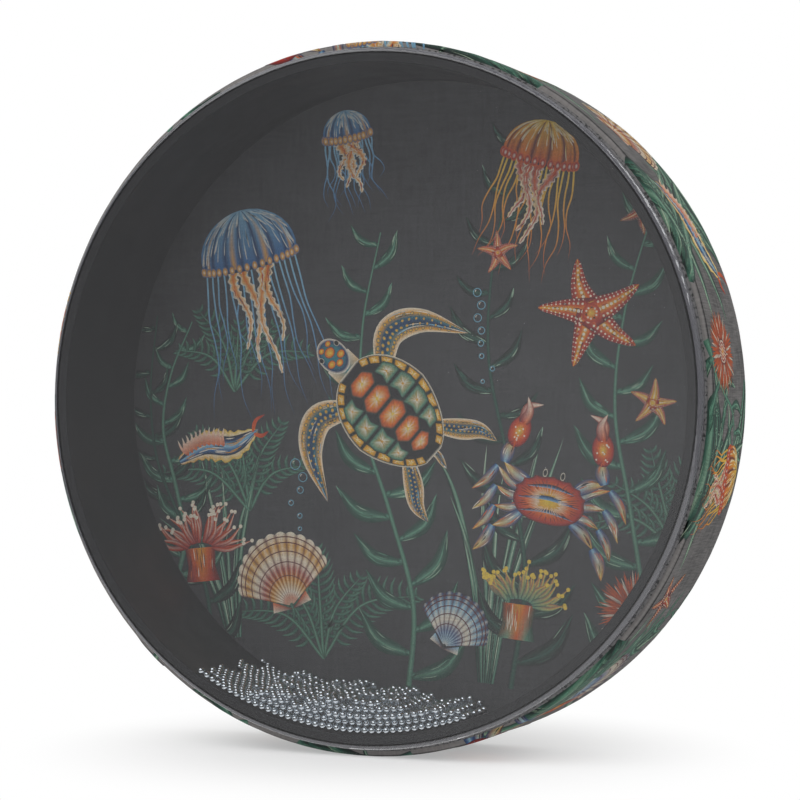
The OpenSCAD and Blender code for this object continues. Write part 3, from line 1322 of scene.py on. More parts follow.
@dataclass
class CoverSurface(Surface):
    """The cloth round the rim. Flat places run clockwise round it from the top, and from front to rear.

    The drum's axis and the cloth's ends are in metres, and all else is in millimetres and degrees.

    Attributes:
        inner: Radii of its cut edges at the front and rear.
        fold: Outer radius of its folds.
        lap_turn: Where its lap ends in a step, clockwise from the top.
        lap_ramp: How far the upper layer takes to come down past the lower one's end.
        edge_fade: How far from the folds the cloth's ripples and lap begin.
        stand: How far the side stands off the hoops between its ripples.
        ripples: Count round the rim, height, phase and slant of each wave in the cloth.
    """

    axis_z: float
    front_y: float
    rear_y: float
    radius: float
    inner: tuple[float, float]
    fold: float = 1.15
    cloth: float = 0.85
    lap_turn: float = 219.5
    lap_width: float = 14.0
    lap_ramp: float = 6.0
    edge_fade: float = 2.0
    stand: float = 0.12
    ripples: tuple[tuple[int, float, float, float], ...] = (
        (9, 0.05, 0.4, 0.03), (23, 0.045, 2.1, 0.05), (41, 0.035, 4.0, -0.08), (67, 0.03, 1.3, 0.11),
        (109, 0.022, 5.2, -0.16))

    @property
    def round_run(self) -> float:
        """Length of the cloth round the rim."""
        return tau * self.radius

    @property
    def half_run(self) -> float:
        """Half the width of its flat side between the folds."""
        return (self.rear_y - self.front_y) / MM / 2 - self.fold

    @property
    def fold_run(self) -> float:
        """Length of the cloth over one fold."""
        return self.fold * pi / 2

    @property
    def flange_runs(self) -> tuple[float, float]:
        """Widths of the turned-in flanges at the front and rear."""
        return (self.radius - self.fold - self.inner[0], self.radius - self.fold - self.inner[1])

    def clipped(self, u: Array, v: Array) -> tuple[Array, Array, Array]:
        """Draws places beyond the cut edges in to them.

        Args:
            u: Places round the rim.
            v: Places across it.
        """
        reach = self.half_run + self.fold_run
        low, high = -(reach + self.flange_runs[0] - 0.5), reach + self.flange_runs[1] - 0.5
        return u, np.clip(v, low, high), (v < low) | (v > high)

    def swell(self, u: Array, v: Array) -> Array:
        """Gives how far the cloth stands out: its slight ripples and its lap.

        Args:
            u: Places round the rim in millimetres.
            v: Places across it.

        Returns:
            Height over the rim's radius in millimetres.
        """
        turn = u / self.radius
        height = sum(size * np.sin(count * turn + phase + skew * v)
                     for count, size, phase, skew in self.ripples)
        past = (u - radians(self.lap_turn) * self.radius) % self.round_run
        lap = np.clip((self.lap_width + self.lap_ramp - past) / self.lap_ramp, 0, 1)
        lap = self.cloth * lap * lap * (3 - 2 * lap)
        fade = np.clip((self.half_run + self.fold - np.abs(v)) / self.edge_fade, 0, 1)
        return (self.stand + height + lap) * fade

    def place(self, u: Array, v: Array, lift: Array | float) -> Array:
        """Lays places on the side, over the folds and on the flanges.

        Args:
            u: Places round the rim.
            v: Places across it.
            lift: Height over the face in millimetres.

        Returns:
            One row of x, y and z in metres for each place.
        """
        side, over = np.sign(v), np.abs(v) - self.half_run
        angle = np.clip(over / self.fold, 0, pi / 2)
        flange = np.maximum(over - self.fold_run, 0)
        reach = self.radius - self.fold + (self.fold + lift) * np.cos(angle) - flange
        across = np.where(over > 0, side * (self.half_run + (self.fold + lift) * np.sin(angle)), v)
        reach = reach + np.where(flange > 0, 0, self.swell(u, v))
        middle, turn = (self.front_y + self.rear_y) / 2, u / self.radius
        x, z = np.sin(turn) * reach * MM, self.axis_z + np.cos(turn) * reach * MM
        return np.stack([x, middle + across * MM, z], axis=-1)

    def longest(self, u: float, v: float) -> float:
        """Cuts ink up finely over the folds and by the lap's step."""
        past = (u - radians(self.lap_turn) * self.radius + 3) % self.round_run
        return self.SHORTEST if abs(v) > self.half_run - 0.5 or past < 6 else 2.6


def add_mesh(name: str, points: Array, faces: Sequence[Sequence[int]],
             uvs: Array | None = None) -> Object:
    """Makes a smooth-shaded mesh object.

    Args:
        name: The piece's name.
        points: One row of x, y and z in metres for each point.
        faces: Point numbers for each face.
        uvs: A flat place in millimetres for each face corner.

    Returns:
        The new object.
    """
    mesh = bpy.data.meshes.new(name)
    mesh.from_pydata(points.tolist(), [], faces)
    if uvs is not None:
        layer = mesh.uv_layers.new(name="cloth_mm")
        layer.uv.foreach_set("vector", uvs.astype(np.float32).ravel())
    mesh.shade_smooth()
    mesh.update()
    piece = bpy.data.objects.new(name, mesh)
    bpy.context.scene.collection.objects.link(piece)
    return piece


def refined(art: Artwork, surface: Surface) -> tuple[Array, Array, Array, Array]:
    """Cuts ink into pieces short enough to follow a face.

    Args:
        art: The flat artwork.
        surface: The face it is laid on.

    Returns:
        Flat points, lifts, colours, and four point numbers for each piece.
    """
    points, shades, lifts = np.array(art.points), np.array(art.shades), np.array(art.lifts)
    extra_points, extra_shades, extra_lifts, quads = [], [], [], []
    total = len(points)
    for quad in art.quads:
        corners = points[list(quad)]
        limit = min(surface.longest(*corner) for corner in corners)
        sides = np.hypot(*(corners - np.roll(corners, -1, axis=0)).T)
        along = ceil(max(sides[0], sides[2]) / limit)
        across = ceil(max(sides[1], sides[3]) / limit)
        if along <= 1 and across <= 1:
            quads.append(quad)
            continue
        along, across = max(along, 1), max(across, 1)
        tones = shades[list(quad)]
        for j in range(across + 1):
            for i in range(along + 1):
                a, b = i / along, j / across
                share = np.array([(1 - a) * (1 - b), a * (1 - b), a * b, (1 - a) * b])
                extra_points.append(share @ corners)
                extra_shades.append(share @ tones)
                extra_lifts.append(lifts[quad[0]])
        for j in range(across):
            for i in range(along):
                first = total + j * (along + 1) + i
                quads.append((first, first + 1, first + along + 2, first + along + 1))
        total += (along + 1) * (across + 1)
    if extra_points:
        points = np.concatenate([points, extra_points])
        shades = np.concatenate([shades, extra_shades])
        lifts = np.concatenate([lifts, extra_lifts])
    return points, lifts, shades, np.array(quads)


def lay_ink(name: str, art: Artwork, surface: Surface) -> Object:
    """Lays artwork on a face of cloth as one thin piece of ink.

    Args:
        name: The piece's name.
        art: The flat artwork.
        surface: The face it is laid on.

    Returns:
        The piece, with its colours in the attribute "ink".
    """
    points, lifts, shades, quads = refined(art, surface)
    u, v, beyond = surface.clipped(points[:, 0], points[:, 1])
    quads = quads[~beyond[quads].all(axis=1)]
    places = surface.place(u, v, lifts)
    corners = places[quads]
    area = np.linalg.norm(np.cross(corners[:, 2] - corners[:, 0], corners[:, 3] - corners[:, 1]), axis=1)
    quads = quads[area > SLIVER]
    used, quads = np.unique(quads, return_inverse=True)
    quads = quads.reshape(-1, 4)
    faces = [list(dict.fromkeys(quad)) for quad in quads.tolist()]
    flat = np.stack([u, v], axis=-1)[used]
    uvs = np.concatenate([flat[face] for face in faces])
    piece = add_mesh(name, places[used], faces, uvs)
    layer = piece.data.color_attributes.new("ink", "FLOAT_COLOR", "POINT")
    opaque = np.concatenate([shades[used], np.ones((len(used), 1))], axis=1)
    layer.data.foreach_set("color", opaque.ravel())
    return piece


def empty_material(name: str) -> tuple[Material, Adder]:
    """Starts a material.

    Args:
        name: The material's name.

    Returns:
        The material, still empty, and what adds a node to it.
    """
    material = bpy.data.materials.new(name)
    material.use_nodes = True
    material.node_tree.nodes.clear()
    return material, partial(add_node, material.node_tree)


def add_shader(add: Adder, settings: dict[str, Any], links: dict[str, Any]) -> None:
    """Closes a material with its one shader.

    Args:
        add: Adds a node to the material.
        settings: Values of the shader's sockets that are the same all over.
        links: What feeds its other sockets.
    """
    shader = add("BsdfPrincipled", settings, links)
    add("OutputMaterial", links={"Surface": shader})


def rgba(hex_colour: str) -> tuple[float, float, float, float]:
    """Gives an sRGB colour as a socket's value."""
    return (*linear(hex_colour), 1.0)


@dataclass(frozen=True)
class SealedFibre:
    """Pressed wood fibre, sealed with a dark coat: smooth to the hand, faintly mottled, with a soft shine."""

    name: str = "sealed_wood_fibre"
    pale: str = "#16171a"
    deep: str = "#101113"
    mottle_mm: float = 16.0
    grain_mm: float = 0.9
    rough: tuple[float, float] = (0.42, 0.54)
    relief: float = 0.05

    def material(self) -> Material:
        """Builds the material.

        Returns:
            The material.
        """
        material, add = empty_material(self.name)
        place = add("TexCoord").outputs["Object"]
        mottle = add("TexNoise", {"Scale": 1 / (self.mottle_mm * MM), "Detail": 4.0}, {"Vector": place})
        # The coat leaves the fibre's grain just readable, as a fine orange peel.
        grain = add("TexNoise", {"Scale": 1 / (self.grain_mm * MM)}, {"Vector": place})
        tone = add("Mix", {"data_type": "RGBA", 6: rgba(self.deep), 7: rgba(self.pale)}, {"Factor": mottle})
        rough = add("MapRange", {"From Min": 0.3, "From Max": 0.7, "To Min": self.rough[0],
                                 "To Max": self.rough[1]}, {"Value": mottle})
        bump = add("Bump", {"Strength": self.relief, "Distance": 0.1 * MM}, {"Height": grain})
        add_shader(add, {"Specular IOR Level": 0.2},
                   {"Base Color": tone.outputs[2], "Roughness": rough, "Normal": bump})
        return material


@dataclass(frozen=True)
class ClearFilm:
    """Clear polyester film: glossy, with a faint milky haze, cloudier where its skirt is bonded, and painted
    shade at its bearing edge.
    """

    name: str = "clear_polyester_film"
    clear: Colour = (0.97, 0.97, 0.975)
    haze: str = "#e0e0ea"
    haze_share: float = 0.008
    bond_share: float = 0.145
    normal_shine: float = 0.055
    rough: float = 0.06
    turn_from_mm: float = 0.1
    turn_to_mm: float = 0.45
    # Painted shade: the dark hairline in the gap where the film leaves the bearing edge.
    painted_gap_shade: str = "#0d0d0e"
    painted_gap_shade_from_mm: float = 0.7
    painted_gap_shade_to_mm: float = 0.42
    painted_gap_shade_share: float = 0.65

    def material(self, axis_z: float, flat_r: float) -> Material:
        """Builds the material.

        Args:
            axis_z: Height of the drum's axis.
            flat_r: Radius at which the film turns back.

        Returns:
            The material.
        """
        material, add = empty_material(self.name)
        place = add("TexCoord").outputs["Object"]
        centred = add("VectorMath", {"operation": "SUBTRACT", 1: (0, 0, axis_z)}, {0: place})
        parts = add("SeparateXYZ", links={"Vector": centred})
        level = add("CombineXYZ", links={"X": parts.outputs["X"], "Y": parts.outputs["Z"]})
        radius = add("VectorMath", {"operation": "LENGTH"}, {0: level}).outputs["Value"]
        # Painted shade: a dark hairline for the shadowed gap where the film leaves the bearing edge.
        line = add("MapRange", {"From Min": flat_r - self.painted_gap_shade_from_mm * MM,
                                "From Max": flat_r - self.painted_gap_shade_to_mm * MM, "To Max": self.painted_gap_shade_share},
                   {"Value": radius})
        # The film is clear where it is stretched, and cloudy where it is turned back and bonded.
        share = add("MapRange", {"From Min": flat_r + self.turn_from_mm * MM,
                                 "From Max": flat_r + self.turn_to_mm * MM, "To Min": self.haze_share,
                                 "To Max": self.bond_share}, {"Value": radius})
        # A film mirrors more the flatter it is looked along, as the fifth power of its facing.
        facing = add("LayerWeight").outputs["Facing"]
        fifth = add("Math", {"operation": "POWER", 1: 5.0}, {0: facing})
        shine = add("Math", {"operation": "MULTIPLY_ADD", 1: 1 - self.normal_shine, 2: self.normal_shine},
                    {0: fifth})
        clear = add("BsdfTransparent", {"Color": (*self.clear, 1.0)})
        milk = add("BsdfDiffuse", {"Color": rgba(self.haze)})
        gloss = add("BsdfGlossy", {"Color": WHITE, "Roughness": self.rough})
        # The painted shade of that gap, as a dark diffuse band.
        dark = add("BsdfDiffuse", {"Color": rgba(self.painted_gap_shade)})
        pane = add("MixShader", links={0: line, 1: clear, 2: dark})
        body = add("MixShader", links={0: share, 1: pane, 2: milk})
        film = add("MixShader", links={0: shine, 1: body, 2: gloss})
        add("OutputMaterial", links={"Surface": film})
        return material


def thread_tones(add: Adder, flat_mm: NodeSocket, thread_mm: float, run_mm: float) -> NodeSocket:
    """Draws the uneven threads of a plain weave.

    Args:
        add: Adds a node to the material.
        flat_mm: The cloth's flat places in millimetres.
        thread_mm: Spacing of the threads.
        run_mm: How far one thread keeps its tone.

    Returns:
        A tone from 0 to 1.
    """
    tones = []
    for scale in ((1 / thread_mm, 1 / run_mm, 1.0), (1 / run_mm, 1 / thread_mm, 1.0)):
        drawn = add("VectorMath", {"operation": "MULTIPLY", 1: scale}, {0: flat_mm})
        tones.append(add("TexNoise", {"Scale": 1.0, "Roughness": 0.6}, {"Vector": drawn}))
    return add("Mix", links={2: tones[0], 3: tones[1]}).outputs[0]


@dataclass(frozen=True)
class WovenCloth:
    """Plain-woven cotton, dyed charcoal with a heather look: matt, with single paler and darker threads."""

    name: str
    pale: str
    deep: str
    # The real threads are 0.4 mm apart, too fine to show, so they are drawn 0.75 mm apart.
    thread_mm: float = 0.75
    run_mm: float = 11.0
    cloud_mm: float = 30.0
    cloud_share: float = 0.25
    relief: float = 0.35
    flat: bool = True
    crease_mm: float | None = None
    # Painted shade, with some dust: the dark colour of the crease at the folds.
    crease: str = "#1d1c1d"
    crease_share: float = 0.85
    # Painted light: the paler colour that the flanges past the crease are painted with.
    painted_flange_light: str = "#a09c9a"
    painted_flange_light_share: float = 0.45

    def material(self) -> Material:
        """Builds the material, from flat places in a UV map or, on a head, from its own x and z.

        Returns:
            The material.
        """
        material, add = empty_material(self.name)
        if self.flat:
            flat_mm = add("UVMap", {"uv_map": "cloth_mm"}).outputs["UV"]
        else:
            place = add("TexCoord").outputs["Object"]
            settings = {"Rotation": (radians(90), 0, 0), "Scale": (1 / MM,) * 3}
            flat_mm = add("Mapping", settings, {"Vector": place}).outputs[0]
        tone = thread_tones(add, flat_mm, self.thread_mm, self.run_mm)
        cloud = add("TexNoise", {"Scale": 1 / self.cloud_mm, "Detail": 3.0}, {"Vector": flat_mm})
        both = add("Mix", {"Factor": self.cloud_share}, {2: tone, 3: cloud})
        spread = add("MapRange", {"From Min": 0.36, "From Max": 0.64}, {"Value": both})
        colour = add("Mix", {"data_type": "RGBA", 6: rgba(self.deep), 7: rgba(self.pale)},
                     {"Factor": spread}).outputs[2]
        # Painted light on the flanges and painted shade in the crease.
        if self.crease_mm is not None:
            colour = self._with_painted_light_and_shade(add, flat_mm, colour)
        bump = add("Bump", {"Strength": self.relief, "Distance": 0.12 * MM}, {"Height": tone})
        add_shader(add, {"Roughness": 0.86, "Specular IOR Level": 0.2, "Sheen Weight": 0.06,
                         "Sheen Roughness": 0.5}, {"Base Color": colour, "Normal": bump})
        return material

    def _with_painted_light_and_shade(self, add: Adder, flat_mm: NodeSocket, colour: NodeSocket) -> NodeSocket:
        """Adds painted light on the turned-in cloth and painted shade, with some dust, in the crease at the
        folds.

        Args:
            add: Adds a node to the material.
            flat_mm: The cloth's flat places in millimetres.
            colour: The cloth's colour without painted light and shade.

        Returns:
            The colour with painted light and shade.
        """
        across = add("SeparateXYZ", links={"Vector": flat_mm}).outputs["Y"]
        out = add("Math", {"operation": "ABSOLUTE"}, {0: across})
        off = add("Math", {"operation": "SUBTRACT", 1: self.crease_mm}, {0: out})
        near = add("Math", {"operation": "ABSOLUTE"}, {0: off})
        # Painted light: the turned-in cloth past the crease is painted paler than the side, as if lit more.
        painted_flange_light = add("MapRange", {"From Min": 0.3, "To Max": self.painted_flange_light_share}, {"Value": off})
        # Painted shade, with some dust, darkens the crease where the cloth turns over the hoop.
        crease_dust_and_shade = add("MapRange", {"From Min": 0.15, "From Max": 0.42, "To Min": self.crease_share,
                                 "To Max": 0.0}, {"Value": near})
        for share, tint in ((painted_flange_light, self.painted_flange_light), (crease_dust_and_shade, self.crease)):
            colour = add("Mix", {"data_type": "RGBA", 7: rgba(tint)},
                         {"Factor": share, 6: colour}).outputs[2]
        return colour


@dataclass(frozen=True)
class PigmentInk:
    """Pigment ink printed on the cloth: matt, sunk into the weave, so that the threads show through it."""

    name: str
    strength: float = 0.95
    fade: float = 0.07
    ground: str = "#3c3d3f"
    grain_mm: float = 0.55
    thread_mm: float = 0.75
    run_mm: float = 9.0
    thinnest: float = 0.5
    fullest: float = 1.05

    def material(self) -> Material:
        """Builds the material, which takes its colour from the piece's attribute "ink".

        Returns:
            The material.
        """
        material, add = empty_material(self.name)
        flat_mm = add("UVMap", {"uv_map": "cloth_mm"}).outputs["UV"]
        tone = thread_tones(add, flat_mm, self.thread_mm, self.run_mm)
        grain = add("TexNoise", {"Scale": 1 / self.grain_mm}, {"Vector": flat_mm})
        both = add("Mix", links={2: tone, 3: grain})
        dim = add("MapRange", {"From Min": 0.33, "From Max": 0.62, "To Min": self.thinnest * self.strength,
                               "To Max": self.fullest * self.strength}, {"Value": both})
        ink = add("Attribute", {"attribute_name": "ink"}).outputs["Color"]
        colour = add("VectorMath", {"operation": "SCALE"}, {0: ink, "Scale": dim})
        # The cloth's own grey shows between the threads that took the ink.
        sunk = add("Mix", {"data_type": "RGBA", "Factor": self.fade, 7: rgba(self.ground)}, {6: colour})
        bump = add("Bump", {"Strength": 0.12, "Distance": 0.1 * MM}, {"Height": tone})
        add_shader(add, {"Roughness": 0.82, "Specular IOR Level": 0.22},
                   {"Base Color": sunk.outputs[2], "Normal": bump})
        return material


@dataclass(frozen=True)
class CuredAdhesive:
    """Cured contact adhesive: a dark lumpy fillet with a dull shine."""

    name: str = "contact_adhesive"
    pale: str = "#6c6b6c"
    deep: str = "#1e1e1f"
    lump_mm: float = 1.3
    rough: tuple[float, float] = (0.4, 0.8)

    def material(self) -> Material:
        """Builds the material.

        Returns:
            The material.
        """
        material, add = empty_material(self.name)
        place = add("TexCoord").outputs["Object"]
        lumps = add("TexNoise", {"Scale": 1 / (self.lump_mm * MM), "Detail": 3.0}, {"Vector": place})
        rough = add("MapRange", {"To Min": self.rough[0], "To Max": self.rough[1]}, {"Value": lumps})
        bump = add("Bump", {"Strength": 0.8, "Distance": 0.4 * MM}, {"Height": lumps})
        # It lies over the cloth's edge in dark blobs, with the grey cloth showing between them.
        blobs = add("MapRange", {"From Min": 0.39, "From Max": 0.5}, {"Value": lumps})
        colour = add("Mix", {"data_type": "RGBA", 6: rgba(self.deep), 7: rgba(self.pale)},
                     {"Factor": blobs})
        add_shader(add, {}, {"Base Color": colour.outputs[2], "Roughness": rough, "Normal": bump})
        return material


@dataclass(frozen=True)
class RawFibreboard:
    """Raw fibreboard, cut and sanded: a matt grey-brown felt of fibres."""

    name: str = "raw_fibreboard"
    pale: str = "#9a8f7c"
    deep: str = "#7b715f"
    fibre_mm: float = 0.8

    def material(self) -> Material:
        """Builds the material.

        Returns:
            The material.
        """
        material, add = empty_material(self.name)
        place = add("TexCoord").outputs["Object"]
        fibre = add("TexNoise", {"Scale": 1 / (self.fibre_mm * MM), "Detail": 5.0, "Distortion": 1.2},
                    {"Vector": place})
        colour = add("Mix", {"data_type": "RGBA", 6: rgba(self.deep), 7: rgba(self.pale)},
                     {"Factor": fibre})
        add_shader(add, {"Roughness": 0.9, "Specular IOR Level": 0.25}, {"Base Color": colour.outputs[2]})
        return material


@dataclass(frozen=True)
class BearingSteel:
    """Tumbled carbon steel balls: bright and cool, with a thin film of oil dust that dulls the mirror."""

    name: str = "bright_steel"
    colour: str = "#d6dde2"
    dust_mm: float = 5.0
    rough: tuple[float, float] = (0.07, 0.13)

    def material(self) -> Material:
        """Builds the material.

        Returns:
            The material.
        """
        material, add = empty_material(self.name)
        place = add("TexCoord").outputs["Object"]
        dust = add("TexNoise", {"Scale": 1 / (self.dust_mm * MM)}, {"Vector": place})
        rough = add("MapRange", {"To Min": self.rough[0], "To Max": self.rough[1]}, {"Value": dust})
        add_shader(add, {"Base Color": rgba(self.colour), "Metallic": 1.0}, {"Roughness": rough})
        return material


def dress(node: str, material: Material) -> Object:
    """Gives a carried-over solid its finish.

    Args:
        node: The solid's name.
        material: Its finish.

    Returns:
        The solid.
    """
    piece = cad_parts[node]
    piece.data.materials.clear()
    piece.data.materials.append(material)
    LOG.info("dressed %s in %s", node, material.name)
    return piece


def fit_out(piece: Object, material: Material) -> None:
    """Gives a new piece its finish and the drum's body.

    Args:
        piece: The piece.
        material: Its finish.
    """
    piece.data.materials.append(material)
    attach(piece, "drum")


@dataclass
class Chamber:
    """The shell with its hoops and glue lines, and the clear head that closes it."""

    sizes: DrumSizes
    hoops: tuple[str, ...] = ("front_hoop", "rear_hoop")
    glue_lines: tuple[str, ...] = ("front_glue_line", "rear_glue_line")
    film_turn_mm: float = 1.9

    def build(self) -> None:
        """Dresses the solids."""
        dress("shell", SealedFibre().material())
        board, glue = RawFibreboard().material(), CuredAdhesive().material()
        for hoop in self.hoops:
            dress(hoop, board)
        for line in self.glue_lines:
            dress(line, glue)
        flat_r = radii_of("front_head", self.sizes.axis_z)[1] - self.film_turn_mm * MM
        dress("front_head", ClearFilm().material(self.sizes.axis_z, flat_r))


@dataclass
class BeadPile:
    """The loose steel beads."""

    prefix: str = "beads_"

    def build(self) -> None:
        """Dresses every slice of the pile."""
        steel = BearingSteel().material()
        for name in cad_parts:
            if name.startswith(self.prefix):
                dress(name, steel)


@dataclass
class PrintedHead:
    """The rear head: film faced with charcoal cloth, printed with a sea bed on both faces."""

    sizes: DrumSizes
    film: float = 0.4 * MM
    turn_mm: float = 2.05
    reveal_mm: float = 5.8
    glue_mm: float = 1.0

    def build(self) -> None:
        """Dresses the solid and lays the ink on it."""
        cloth = WovenCloth("charcoal_head_cloth", "#404143", "#2c2d2f", relief=0.1, flat=False)
        dress("rear_head", cloth.material())
        inside = HeadInside(self.sizes.axis_z, self.sizes.rear_y - self.film, self.sizes.bore_r)
        outside = HeadOutside(self.sizes.axis_z, self.sizes.rear_y, self.sizes.crest_r, self.turn_mm,
                              self.reveal_mm - self.turn_mm - self.glue_mm)
        ink = PigmentInk("pigment_ink_on_head").material()
        for name, art, surface in (("head_print_inside", self.inside_art(), inside),
                                   ("head_print_outside", self.outside_art(), outside)):
            piece = lay_ink(name, art, surface)
            fit_out(piece, ink)
            LOG.info("laid %s in %d pieces of ink", name, len(piece.data.polygons))

    def inside_art(self) -> Artwork:
        """Composes the print seen through the clear head.

        Returns:
            The flat artwork.
        """
        shade = (Ink.NIGHT, Ink.DEEP_GREEN, blend_of(Ink.DEEP_GREEN, Ink.WEED, 0.8))
        cool = (Ink.CREAM, Ink.SKY, Ink.BLUE, Ink.CREAM, Ink.SKY, Ink.DEEP_BLUE)
        return compose([
            Placing(Kelp(215, 10, 34, 10), (-8, -138), 4),
            Placing(Kelp(170, 8, 30, 8, shade), (-108, -128), 10),
            Placing(Kelp(225, 9, 33, 10), (96, -140), -3),
            Placing(Kelp(130, 8, 26, 7), (-128, -92), -4),
            Placing(Kelp(250, 10, 31, 11, shade), (42, -130), -1),
            Placing(FanWeed(56), (-46, -120), 4),
            Placing(FanWeed(46), (122, -66), 14),
            Placing(FanWeed(50), (-84, -52), 8),
            Placing(FanWeed(44), (-92, 4), -4),
            Placing(Grass(120), (34, -128), -4),
            Placing(Grass(95, 22, 6), (-92, -112), 8),
        ], [
            Placing(Turtle(), (-12, -6), 48),
            Placing(Jellyfish(), (-84, 66), 12),
            Placing(Jellyfish(18, 17, 7, 58, GOLDEN, HOT), (60, 108), -14),
            Placing(Jellyfish(12, 12, 7, 40), (-34, 122), 8),
            Placing(SeaStar(25), (84, 38), 14),
            Placing(SeaStar(12, RUSTY), (108, 84), 40),
            Placing(SeaStar(10), (40, 66), 5),
            Placing(SeaStar(11, (Ink.RED, Ink.GOLD, Ink.YELLOW)), (112, -2), 62),
            Placing(SeaSlug(44), (-100, -22), 14),
            Placing(Crab(), (64, -46), -12),
            Placing(Bubbles(), (34, 8)),
            Placing(Bubbles(36, 6), (-60, -60)),
        ], [
            Placing(Scallop(), (-62, -96), 20),
            Placing(Scallop(25, 11, 60, cool), (14, -112), -28),
            Placing(Urchin(), (104, -94)),
            Placing(Anemone(20), (-110, -70), 6),
            Placing(Anemone(17, 40, (Ink.DEEP_GREEN, Ink.LEAF, Ink.YELLOW)), (50, -92), -6),
        ])

    def outside_art(self) -> Artwork:
        """Composes the print seen from behind.

        Returns:
            The flat artwork.
        """
        return compose([
            Placing(Kelp(260, 10, 34, 11), (-70, -150), 3),
            Placing(Kelp(210, 8, 31, 9), (84, -150), -8),
            Placing(Kelp(150, 8, 28, 7), (8, -158), 6),
            Placing(Kelp(170, 8, 28, 8), (-132, -110), -6),
            Placing(FanWeed(54), (42, -142), -4),
            Placing(Grass(120, 26, 8), (-30, -150), 3),
            Placing(Grass(100, 22, 7), (122, -112), 5),
        ], [
            Placing(Turtle(), (34, 44), -52, 1.05),
            Placing(Jellyfish(24, 22, 9, 80), (-66, 84), -10),
            Placing(Jellyfish(15, 14, 7, 50, GOLDEN, HOT), (110, 78), 12),
            Placing(SeaStar(25), (-88, -34), 22),
            Placing(SeaStar(12, RUSTY), (-20, 8), 50),
            Placing(SeaStar(10), (4, 122), 12),
            Placing(SeaSlug(), (92, -34), -10, flip=True),
            Placing(Crab(), (6, -62), 10),
            Placing(Bubbles(), (-28, 52)),
            Placing(Bubbles(36, 6), (64, -12)),
        ], [
            Placing(Scallop(), (62, -112), -16),
            Placing(Scallop(24, 11), (-112, -82), 30),
            Placing(Urchin(), (-64, -108)),
            Placing(Anemone(20), (8, -126)),
        ])


